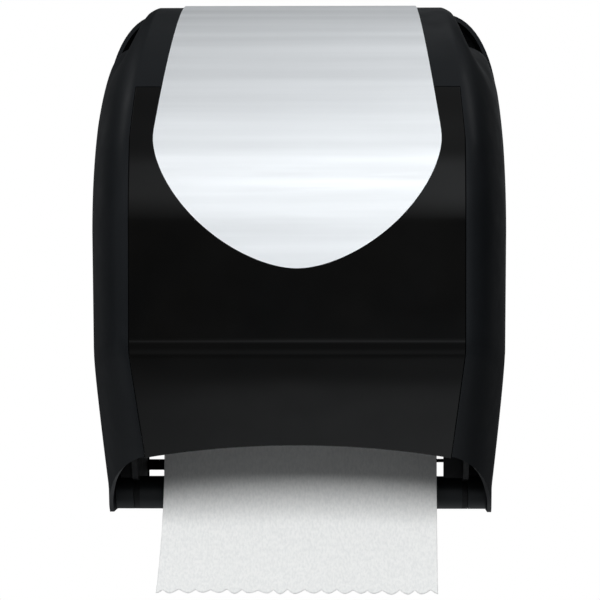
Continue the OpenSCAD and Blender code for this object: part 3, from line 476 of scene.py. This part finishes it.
# Roll arms: a fixed arm on the left plate and a sprung arm on the right, each with a core hub.
# The right arm swings on a pin between the ears of its bracket to let the roll in.
dress(inner_black, "left_arm", "right_arm", "arm_bracket")
dress(zinc_steel, "arm_pivot_pin")
hub_grey = Finish("hub_plastic", (0.035, 0.035, 0.037), 0.45).set(Specular_IOR_Level=0.35)
hub_grey.vary_colour(hub_grey.noise(0.15), (0.048, 0.048, 0.05))
hub_grey.bump(hub_grey.noise(1.2), 0.02, 0.4)
dress(hub_grey, "left_hub", "right_hub")

# Cardboard core: spiral-wound grey-brown board that turns on the two hubs.
# The paper is glued to it along its first turn.
core_card = Finish("core_card", (0.42, 0.31, 0.20), 0.85)
core_card.vary_colour(core_card.noise(0.4, (0.4, 1, 1)), (0.36, 0.26, 0.16))
core_card.bump(core_card.noise(0.8), 0.05, 0.6)
dress(core_card, "roll_core")

# Paper roll: one long towel wound on the core, its ends a little uneven from the winding.
# The outer turn is embossed like the towel and the ends show the edges of the turns.


def plain_mesh(name, points_mm, faces):
    """A mesh object in metres from millimetre points, doubles merged and loose points dropped."""
    mesh = bpy.data.meshes.new(name)
    mesh.from_pydata([(x * 0.001, y * 0.001, z * 0.001) for x, y, z in points_mm], [], faces)
    made = bmesh.new()
    made.from_mesh(mesh)
    bmesh.ops.remove_doubles(made, verts=made.verts, dist=1e-6)
    bmesh.ops.dissolve_degenerate(made, edges=made.edges, dist=1e-7)
    bmesh.ops.delete(made, geom=[v for v in made.verts if not v.link_faces], context="VERTS")
    made.to_mesh(mesh)
    made.free()
    mesh.shade_smooth()
    return add_object(name, mesh)


def turned_points(profile, depth, height, steps):
    """Rings of points round an axis along X, one for each (x, radius) of the profile."""
    turns = [2 * math.pi * k / steps for k in range(steps)]
    return [(x, -depth - r * math.cos(turn), height + r * math.sin(turn))
            for x, r in profile for turn in turns]


def ring_faces(rings, steps, start=0, closed=False):
    """Faces between neighbouring rings, and between the last and the first of a closed row."""
    faces = []
    for i in range(rings if closed else rings - 1):
        here = start + i * steps
        there = start + (i + 1) % rings * steps
        for k in range(steps):
            after = (k + 1) % steps
            faces.append((here + k, here + after, there + after, there + k))
    return faces


def outward(held):
    """Recalculates the normals of a closed mesh so that its faces point outwards."""
    made = bmesh.new()
    made.from_mesh(held.data)
    bmesh.ops.recalc_face_normals(made, faces=made.faces)
    made.to_mesh(held.data)
    made.free()


roll_half = 99.0
roll_r = 91.0
roll_bore = 21.6
roll_depth = 114.0
roll_height = 233.0
roll_steps = 160
end_rings = 64
face_rings = 24
end_slack = 0.35
face_slack = 0.12
wind = np.random.default_rng(7)


def roll_end(side):
    """One end of the roll from the bore outwards, looser toward the outer turns."""
    radii = np.linspace(roll_bore, roll_r - 0.8, end_rings)
    return [(side * (roll_half - 0.05 - end_slack * wind.random() * (0.3 + 0.7 * (r / roll_r))), r)
            for r in radii]


right_end = roll_end(1)
left_end = roll_end(-1)
roll_line = right_end + [(roll_half - 0.3, roll_r - 0.3), (roll_half - 1.0, roll_r - 0.02)]
for x in np.linspace(roll_half - 6, -roll_half + 6, face_rings):
    roll_line.append((x, roll_r - 0.02 - face_slack * wind.random()))
roll_line += [(-roll_half + 1.0, roll_r - 0.02), (-roll_half + 0.3, roll_r - 0.3)] + left_end[::-1]
paper_roll = plain_mesh("paper_roll", turned_points(roll_line, roll_depth, roll_height, roll_steps),
                        ring_faces(len(roll_line), roll_steps, closed=True))
outward(paper_roll)
paper = Finish("embossed_paper", (0.80, 0.815, 0.815), 0.95).set(Specular_IOR_Level=0.1)
paper.vary_colour(paper.noise(0.55, (1.3, 1, 0.6), 4), (0.885, 0.895, 0.89), 0.34, 0.62)
paper.bump(paper.noise(0.8, (1.4, 1, 0.5), 4), 0.35, 0.8)
paper.bump(paper.noise(4.0, detail=4), 0.06, 0.5)
wound_paper = Finish("wound_paper", (0.80, 0.80, 0.78), 0.95).set(Specular_IOR_Level=0.1)
roll_axis = wound_paper.mapped(shift=(0, roll_depth * 0.001, -roll_height * 0.001))
turns = wound_paper.node("ShaderNodeTexWave", ("Vector", roll_axis), ("Scale", 260.0), ("Distortion", 0.6),
                         ("Detail", 2.0), wave_type="RINGS", rings_direction="X")
wound_paper.vary_colour(turns.outputs["Fac"], (0.68, 0.68, 0.66), 0.2, 0.8)
wound_paper.bump(turns.outputs["Fac"], 0.15, 0.6)
paper_roll.data.materials.append(paper.material)
paper_roll.data.materials.append(wound_paper.material)
for face in paper_roll.data.polygons:
    face.material_index = 1 if abs(face.normal.x) > 0.35 else 0
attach(paper_roll, "roll")
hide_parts("towel_roll")

# Paper towel: one length of embossed paper from the roll, over the pinch roller and out below.
# Its torn end hangs in eighteen scallops, no two quite alike, and swings a little forward.


def grid_faces(rows, cols, keep=None):
    """Faces of a grid of points, or those of its cells that are kept."""
    faces = []
    for i in range(rows - 1):
        for j in range(cols - 1):
            if keep is None or keep(i, j):
                here = i * cols + j
                faces.append((here, here + 1, here + cols + 1, here + cols))
    return faces


def add_wall(held, mm, offset=-1):
    """Gives a sheet its thickness, behind the shown face or half to each side at offset 0."""
    wall = held.modifiers.new("wall", "SOLIDIFY")
    wall.thickness = mm * 0.001
    wall.offset = offset
    wall.use_even_offset = True


towel_half = 99.0
towel_thick = 0.5
towel_depth = 98.6
roll_at = np.array([roll_depth, roll_height])
pinch_at = np.array([pinch_depth, roller_height])
roll_edge = 91.6
over_r = 10.6
chute_top = 78.0
chute_foot = 48.0
bend_top = 46.0
towel_fall = 100.5
swing_out = 32.0
hang_steps = 61
towel_flare = 4
scallops = 18
points_per_scallop = 14
torn_from = 0.92
ripple_high = 0.7
reach = pinch_at - roll_at
lean = math.atan2(reach[1], reach[0]) + math.acos((roll_edge + over_r) / math.hypot(*reach))
off = np.array([math.cos(lean), math.sin(lean)])
leave = roll_at + roll_edge * off
arrive = pinch_at - over_r * off
swing = 2 * math.atan(swing_out / towel_fall)
swing_r = towel_fall / math.sin(swing)
towel_line = [leave + (arrive - leave) * t for t in np.linspace(0, 1, 20)[:-1]]
for a in np.linspace(math.pi + lean, math.pi, 14):
    towel_line.append(pinch_at + over_r * np.array([math.cos(a), math.sin(a)]))
for z in np.linspace(chute_top, chute_foot, 8):
    towel_line.append(np.array([towel_depth, z]))
for a in np.linspace(0, swing, hang_steps):
    towel_line.append(np.array([towel_depth + swing_r * (1 - math.cos(a)), bend_top - swing_r * math.sin(a)]))
towel_line = np.array(towel_line)
towel_along = np.gradient(towel_line, axis=0)
towel_along /= np.linalg.norm(towel_along, axis=1)[:, None]
towel_rows = len(towel_line)
towel_cols = scallops * points_per_scallop
tear = np.random.default_rng(11)
tear_depth = 2.0 + 2.2 * tear.random(scallops + 1)
tear_shift = 0.3 * (tear.random(scallops + 1) - 0.5)
tear_marks = range(scallops + 1)
towel_points = []
for i, (spot, along) in enumerate(zip(towel_line, towel_along)):
    low = max(0.0, (i - towel_rows + hang_steps) / (hang_steps - 1))
    flare = towel_flare * low * low
    torn = max(0.0, (low - torn_from) / (1 - torn_from))
    across = np.array([-along[1], along[0]])
    for k in range(towel_cols + 1):
        share = k / towel_cols
        x = -towel_half - flare + (2 * towel_half + flare) * share
        mark = scallops * share
        tooth = mark + np.interp(mark, tear_marks, tear_shift)
        drop = np.interp(mark, tear_marks, tear_depth) * (abs(math.cos(math.pi * tooth)) - 0.6)
        ripple = ripple_high * low * low * math.sin(5.1 * share + 0.6) * math.sin(9.0 * share)
        d, z = spot + along * drop * torn + across * ripple
        towel_points.append((x, -d, z))
towel = plain_mesh("paper_towel", towel_points, grid_faces(towel_rows, towel_cols + 1))
add_wall(towel, towel_thick, 0)
towel.data.materials.append(paper.material)
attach(towel, "chassis")
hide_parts("towel_sheet")

# Battery box: an open moulded tray in front of the chute, with a lid that slides off by its grip ribs.
# Four round cells lie in two rows in a plain shrink sleeve with bare steel ends.
dress(inner_black, "battery_box", "battery_lid")
cell_mid = -43.4
cell_height = 82.15
cell_depths = (142.1, 175.7)
cell_steps = 48
sleeve_ends = (3.0, 58.4)
cell_line = [(1.0, 0.0), (1.0, 11.5), (1.25, 12.2), (1.0, 13.6), (1.05, 15.6), (1.5, 16.3), (2.4, 16.45),
             (3.0, 16.2), (3.6, 16.5), (57.6, 16.5), (58.2, 16.2), (58.8, 16.45), (59.7, 16.3), (60.3, 15.6),
             (60.4, 13.2), (60.0, 12.4), (60.0, 6.2), (60.5, 5.4), (61.7, 5.0), (62.0, 4.4), (62.0, 0.0)]
cell_points = []
cell_faces = []
for side in (-1, 1):
    for depth in cell_depths:
        profile = [(cell_mid + side * x, r) for x, r in cell_line]
        rings = ring_faces(len(profile), cell_steps, len(cell_points))
        cell_faces += rings if side < 0 else [tuple(reversed(face)) for face in rings]
        cell_points += turned_points(profile, depth, cell_height, cell_steps)
cells = plain_mesh("round_cells", cell_points, cell_faces)
cell_sleeve = Finish("cell_sleeve", (0.40, 0.17, 0.04), 0.3, 0.4)
cell_sleeve.vary_colour(cell_sleeve.noise(0.05), (0.47, 0.22, 0.06))
cell_sleeve.bump(cell_sleeve.noise(0.6, (0.2, 1, 1)), 0.01, 0.4)
cells.data.materials.append(cell_sleeve.material)
cells.data.materials.append(zinc_steel.material)
for face in cells.data.polygons:
    from_mid = abs(face.center.x * 1000 - cell_mid)
    face.material_index = 0 if sleeve_ends[0] < from_mid < sleeve_ends[1] else 1
outward(cells)
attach(cells, "chassis")
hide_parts("battery_cells")

# Battery contacts: a plated strip at each end of the box, with a cone spring facing each cell.
# The springs are wound from 0.8 mm wire and stand on the strips.
spring = ShapeTree("cone_spring", wide=0.0052, narrow=0.0032, free_length=0.0028, wire=0.0004, turns=3.5,
                   lean=(0.0, 0.0, 0.0))
coil = spring.node("GeometryNodeCurveSpiral", ("Resolution", 26), ("Rotations", spring.size("turns")),
                   ("Start Radius", spring.size("wide")), ("End Radius", spring.size("narrow")),
                   ("Height", spring.size("free_length")))
round_wire = spring.node("GeometryNodeCurvePrimitiveCircle", ("Resolution", 8),
                         ("Radius", spring.size("wire")))
wound = spring.node("GeometryNodeCurveToMesh", ("Curve", coil.outputs[0]),
                    ("Profile Curve", round_wire.outputs[0]), ("Fill Caps", True))
spring.close(spring.set_on_places(wound.outputs[0], ("Rotation", spring.size("lean"))), zinc_steel)
for side, foot_x, turn in (("left", -109.2, math.pi / 2), ("right", 22.4, -math.pi / 2)):
    springs = spring.grow("cell_springs_" + side, [(foot_x, d, cell_height - 0.05) for d in cell_depths],
                          lean=(0.0, turn, 0.0))
    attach(springs, "chassis")
strip_rim = [(129.3, 73.6), (129.9, 72.2), (131.3, 71.6), (186.5, 71.6), (187.9, 72.2), (188.5, 73.6),
             (188.5, 91.2), (187.9, 92.6), (186.5, 93.2), (131.3, 93.2), (129.9, 92.6), (129.3, 91.2)]
rim_count = len(strip_rim)
strip_points = []
strip_faces = []
for strip_walls in ((-110.4, -109.6), (22.8, 23.6)):
    base = len(strip_points)
    strip_points += [(x, -d, z) for x in strip_walls for d, z in strip_rim]
    strip_faces.append(tuple(base + k for k in range(rim_count)))
    strip_faces.append(tuple(base + rim_count + k for k in reversed(range(rim_count))))
    for k in range(rim_count):
        here = base + k
        after = base + (k + 1) % rim_count
        strip_faces.append((here, here + rim_count, after + rim_count, after))
strips = plain_mesh("contact_strips", strip_points, strip_faces)
outward(strips)
strips.data.shade_flat()
strips.data.materials.append(zinc_steel.material)
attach(strips, "chassis")
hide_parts("battery_contacts")

# Controls: a moulded housing beside the battery box, with the board sliding in behind its face.
# The blue feed button and the pale towel-length slider come through the face.
dress(inner_black, "control_panel")
board_green = Finish("solder_mask", (0.01, 0.09, 0.035), 0.3)
board_green.vary_colour(board_green.noise(0.35), (0.02, 0.14, 0.05), 0.45, 0.55)
dress(board_green, "control_board")
button_blue = Finish("button_blue", (0.02, 0.10, 0.32), 0.35)
button_blue.vary_colour(button_blue.noise(0.1), (0.025, 0.115, 0.35))
button_blue.vary_rough(button_blue.noise(0.3), 0.05)
dress(button_blue, "feed_button")
slider_white = Finish("slider_plastic", (0.62, 0.62, 0.60), 0.4)
slider_white.vary_colour(slider_white.noise(0.2), (0.68, 0.68, 0.66))
slider_white.bump(slider_white.noise(1.5), 0.015, 0.4)
dress(slider_white, "length_switch")

# Cover frame: cheeks and crown moulded in one piece of satin black, open where the pane sits.
# It draws in toward the feet, rolls over the crown and has a finger scoop at each top corner.
# Knuckles at its feet turn on the lower bar's pins.
half_w = 147.0
body_h = 369.0
cover_d = 38.0
crown_d = 72.0
front_r = 160.0
nose_z = 209.0
nose_d = 232.0
corner_z = 289.0
corner_h = 80.0
crown_half = 102.0
cheek_at_nose = (135.0, 201.0)
cheek_at_foot = (100.0, 0.5)
rear_at_nose = 175.0
rear_at_foot = 0.5
waist_z = 118.0
foot_draw = 8.5
draw_over = 98.0
heel_z = 25.0
heel_slope = 8.0
rear_drop = 4.0
scoop = 13.0
scoop_turn = (14, 57)
scoop_fade = (110, 190)
frame_wall = 3.0
pane_top = 302.0
brow_z = 126.0
brow_d = 230.0
step_z = 117.0
step_d = 227.0
lip_z = 45.5
lip_d = 190.0
face_bow = 1.0
face_lean = (step_d - lip_d) / (step_z - lip_z)
crown_ease = 0.5
lip_ease = 0.35
lock_edges = (43.0, 61.0)
lock_half = 9.0


def mix(a, b, t):
    return a + (b - a) * t


def rise(value, start, end):
    """How far a value has come from start to end, held between 0 and 1."""
    return min(1.0, max(0.0, (value - start) / (end - start)))


def case_half(z):
    """Half the width of the case, drawn in below the waist."""
    return half_w - foot_draw * rise(waist_z - z, 0, draw_over) ** 1.2


def pane_half(z):
    """Half the width of the opening for the pane, and of the crown above it."""
    levels = [lip_z, waist_z, 264, pane_top, body_h]
    return float(np.interp(z, levels, [106.7, 115, 115, 112, crown_half]))


# A row runs from its front point round the cheek's side point to its rear point at the housing, each given
# as depth and height. Ease bends its plan, and dish is its share of the finger scoop.
FrameRow = collections.namedtuple("FrameRow", "front normal side rear ease dish")


def lower_row(d, z, normal):
    """A row of the frame below the nose, where the cheek draws back toward the foot."""
    t = (nose_z - z) / (nose_z - lip_z)
    rear = mix(rear_at_nose, rear_at_foot, t)
    side = (mix(cheek_at_nose[0], cheek_at_foot[0], t), mix(cheek_at_nose[1], cheek_at_foot[1], t))
    heel = max(0.0, heel_z - rear) / heel_slope
    ease = 1 + lip_ease * max(0.0, (brow_z - z) / (brow_z - lip_z))
    return FrameRow((d, z), normal, side, (cover_d + heel, rear), ease, 0.0)


lean_normal = (1 / math.hypot(1, face_lean), -face_lean / math.hypot(1, face_lean))
pane_top_a = math.asin((pane_top - nose_z) / front_r)
flat_line = [38, 39, 41, 43, 46, 49, 52, 55, 58, 61, 63, 65, 67, 69.5, 72]
crown_line = np.linspace(math.pi / 2, pane_top_a, 41)[1:]
front_line = np.linspace(pane_top_a, 0, 31)[1:]
frame_rows = []
for d in flat_line:
    rear = corner_z - rear_drop - float(np.interp(d, [cover_d, *lock_edges, crown_d], [0, 1, 2, 3]))
    frame_rows.append(FrameRow((d, body_h), (0, 1), (mix(cover_d, d, 0.5), corner_z), (cover_d, rear),
                               1.0 + crown_ease, 1.0))
for a in [*crown_line, *front_line]:
    t = 1 - a / (math.pi / 2)
    d = crown_d + front_r * math.cos(a)
    frame_rows.append(FrameRow(
        (d, nose_z + front_r * math.sin(a)), (math.cos(a), math.sin(a)),
        (mix(cover_d, d, 0.5), mix(corner_z, cheek_at_nose[1], t)),
        (cover_d, mix(corner_z - 2 * rear_drop, rear_at_nose, t)), 1.0 + crown_ease * max(0.0, 1 - 2 * t),
        0.5 + 0.5 * math.cos(math.pi * rise(d, *scoop_fade))))
for t in np.linspace(0, 1, 15)[1:]:
    frame_rows.append(lower_row(mix(nose_d, brow_d, t), mix(nose_z, brow_z, t), (1, 0)))
for t in (0.3, 0.6, 0.85):
    frame_rows.append(lower_row(mix(brow_d, step_d, t), mix(brow_z, step_z, t), (1, 0)))
for t in np.linspace(0, 1, 26):
    bowed = mix(step_d, lip_d, t) + 4 * face_bow * t * (1 - t)
    frame_rows.append(lower_row(bowed, mix(step_z, lip_z, t), lean_normal))
crown_rows = len(flat_line) + len(crown_line) - 1
side_mark = 12
rear_mark = 14
marks = [*np.linspace(0, side_mark, 61), *np.linspace(side_mark, rear_mark, 9)[1:]]
mark_count = len(marks)
lock_line = [-lock_half, -3.0, 3.0, lock_half]
frame_cols = 2 * mark_count + len(lock_line) + 2


def frame_point(row, mark, wall):
    """A point on the right half: marks run from the front to the side and on to the rear edge."""
    a = math.pi / 2 * min(1.0, mark / side_mark)
    front = (row.front[0] - wall * row.normal[0], row.front[1] - wall * row.normal[1])
    if mark <= side_mark:
        d, z = [mix(row.side[c], front[c], math.cos(a)) for c in (0, 1)]
    else:
        d, z = [mix(row.side[c], row.rear[c], (mark - side_mark) / (rear_mark - side_mark)) for c in (0, 1)]
    x = pane_half(row.front[1])
    turn = rise(math.degrees(a), *scoop_turn)
    deep = row.dish * scoop * (0.5 - 0.5 * math.cos(2 * math.pi * turn))
    out = Vector((corner_h * math.sin(a), (half_w - crown_half) * math.cos(a))).normalized()
    return (x + (case_half(z) - wall - x) * math.sin(a) ** row.ease - deep * out[0], -d, z - deep * out[1])


def frame_skin(wall):
    """All points of one skin of the frame, row by row from left to right."""
    skin = []
    for row in frame_rows:
        right = [frame_point(row, mark, wall) for mark in marks]
        x0, y0, z0 = right[0]
        between = (x0 + lock_half) / 2
        skin += [(-x, y, z) for x, y, z in reversed(right)]
        skin += [(x, y0, z0) for x in [-between, *lock_line, between]]
        skin += right
    return skin


def frame_cell(i, j):
    """Whether the frame has a face in this cell: there is none over the pane or over the lock."""
    over_pane = i >= crown_rows and mark_count - 1 <= j < frame_cols - mark_count
    over_lock = lock_edges[0] <= frame_rows[i].front[0] < lock_edges[1] and mark_count < j < mark_count + 4
    return not over_pane and not over_lock


def round_edges(held, mm):
    """Breaks the sharp edges of a piece."""
    edge = held.modifiers.new("edge", "BEVEL")
    edge.width = mm * 0.001
    edge.segments = 2
    edge.limit_method = "ANGLE"
    edge.angle_limit = math.radians(50)
    edge.harden_normals = True


outer = frame_skin(0.0)
inner = frame_skin(frame_wall)
inside = len(outer)
outer_faces = [tuple(reversed(face)) for face in grid_faces(len(frame_rows), frame_cols, frame_cell)]
inner_faces = [tuple(v + inside for v in reversed(face)) for face in outer_faces]
face_edges = dict.fromkeys(pair for face in outer_faces for pair in zip(face, face[1:] + face[:1]))
rim_faces = [(b, a, a + inside, b + inside) for a, b in face_edges if (b, a) not in face_edges]
cover_frame = plain_mesh("cover_shell", outer + inner, outer_faces + inner_faces + rim_faces)
round_edges(cover_frame, 0.5)
cover_frame.data.materials.append(satin_black.material)
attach(cover_frame, "cover")
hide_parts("cover_frame")
dress(bar_black, "hinge_knuckles")

# Pane: one thick sheet of glossy smoked plastic, bent over the front with a brow above the lip.
# It drops into the cover frame with a narrow gap all round.
pane_gap = 0.3
pane_thick = 2.5
lip_rise = 9.0
arch_rows = 12
arch_z = 60.0
knee_z = 120.6
profile_low = 30.0
profile_z = np.arange(profile_low, nose_z + 0.01, 0.25)
profile_d = np.interp(profile_z, [profile_low, lip_z, step_z, knee_z, brow_z, nose_z],
                      [lip_d - (lip_z - profile_low) * face_lean, lip_d, step_d, step_d + 1, brow_d, nose_d])
profile_t = np.clip((profile_z - lip_z) / (step_z - lip_z), 0, 1)
profile_d += 4 * face_bow * profile_t * (1 - profile_t)
blend = np.ones(9) / 9
profile_d[8:-8] = np.convolve(profile_d, blend, "same")[8:-8]


def front_depth(z):
    """Depth of the cover's front at its middle."""
    if z <= nose_z:
        return float(np.interp(z, profile_z, profile_d))
    return crown_d + math.sqrt(max(0.0, front_r ** 2 - (z - nose_z) ** 2))


pane_top_cut = nose_z + front_r * math.sin(pane_top_a - pane_gap / front_r)
pane_across = np.linspace(-1, 1, 97)
pane_levels = [*np.linspace(arch_z, 116, 30), *np.linspace(step_z, 127, 22), *np.linspace(129, nose_z, 28)]
for a in np.linspace(0, math.asin((pane_top_cut - nose_z) / front_r), 50)[1:]:
    pane_levels.append(nose_z + front_r * math.sin(a))
pane_points = []
for t in np.linspace(0, 1, arch_rows + 1)[:-1]:
    for s in pane_across:
        z = mix(lip_z - 1 + lip_rise * (1 - s * s), arch_z, t)
        pane_points.append((s * (pane_half(max(z, lip_z)) - pane_gap), -front_depth(z), z))
for z in pane_levels:
    pane_points += [(s * (pane_half(z) - pane_gap), -front_depth(z), z) for s in pane_across]
pane = plain_mesh("smoked_pane", pane_points, grid_faces(arch_rows + len(pane_levels), len(pane_across)))
add_wall(pane, pane_thick)
round_edges(pane, 0.5)
pane_black = Finish("smoked_plastic", (0.0015, 0.0015, 0.0015), 0.14).set(Specular_IOR_Level=0.10)
pane_black.vary_colour(pane_black.noise(0.02, detail=1), (0.0022, 0.0021, 0.0019))
pane_black.vary_rough(pane_black.noise(0.03, detail=2), 0.03)
pane_black.bump(pane_black.noise(0.022, (0.25, 0.25, 1), 1), 0.7)
pane.data.materials.append(pane_black.material)
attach(pane, "cover")
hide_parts("cover_window")

# Steel panel: a brushed stainless shield with a soft point, bonded on the crown and the pane.
# It follows the same curve, with its edges dressed smooth.
panel_half = 98.5
panel_top_half = 83.0
panel_wide = 264.0
panel_tip = 174.4
panel_power = 1.65
tip_round = 0.12
panel_lift = 1.3
panel_thick = 1.2
panel_back = 6.0
point_rows = 40
side_rows = 61


def panel_side(z):
    """Half the width of the shield above its widest place."""
    levels = [panel_wide, 268, 274, 373]
    return float(np.interp(z, levels, [panel_half, panel_half, 97.7, panel_top_half]))


def panel_low(s):
    """Height of the shield's lower edge, at a share of its half width."""
    from_tip = min(1.0, math.hypot(s, tip_round * (1 - s * s)))
    hang = max(0.0, 1 - from_tip ** panel_power) ** (1 / panel_power)
    return panel_wide - (panel_wide - panel_tip) * hang


def panel_point(x, z):
    """A point on the shield's face, lifted off the pane and the crown."""
    if z <= nose_z:
        return (x, -front_depth(z) - panel_lift, z)
    a = math.asin(min(1.0, (z - nose_z) / front_r))
    return (x, -crown_d - (front_r + panel_lift) * math.cos(a), nose_z + (front_r + panel_lift) * math.sin(a))


panel_across = np.sin(np.linspace(-math.pi / 2, math.pi / 2, 121))
panel_points = []
for t in np.linspace(0, 1, point_rows + 1)[:-1]:
    panel_points += [panel_point(s * panel_half, mix(panel_low(s), panel_wide, t)) for s in panel_across]
for a in np.linspace(math.asin((panel_wide - nose_z) / front_r), math.pi / 2, side_rows):
    z = nose_z + front_r * math.sin(a)
    panel_points += [panel_point(s * panel_side(z), z) for s in panel_across]
panel_points += [(s * panel_side(body_h), -crown_d + panel_back, body_h + panel_lift) for s in panel_across]
panel = plain_mesh("brushed_panel", panel_points, grid_faces(point_rows + side_rows + 1, len(panel_across)))
add_wall(panel, panel_thick)
round_edges(panel, 0.35)
steel = Finish("brushed_stainless", (0.835, 0.84, 0.845), 0.46, 1.0).set(Anisotropic=0.6)
steel.vary_colour(steel.noise(0.075, (0.025, 1, 1), 5), (0.945, 0.95, 0.955), 0.32, 0.68)
steel.vary_rough(steel.noise(2.0, (0.01, 1, 1), 4), 0.04)
steel.bump(steel.noise(0.018, (0.25, 1, 1), 1), 2.4)
steel.bump(steel.noise(4.0, (0.006, 1, 1), 3), 0.006, 0.3)
brushing = steel.node("ShaderNodeTangent", direction_type="RADIAL", axis="X")
steel.link(brushing.outputs["Tangent"], steel.shader.inputs["Tangent"])
panel.data.materials.append(steel.material)
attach(panel, "cover")
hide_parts("steel_panel")

# Lock: a moulded housing let into the flat top, with a plated cylinder, its cam and the keeper behind.
# It stands unlocked, and a quarter turn swings the cam behind the keeper on the wall housing.
dress(satin_black, "lock_body")
dress(zinc_steel, "lock_cylinder", "lock_cam", "lock_keeper")
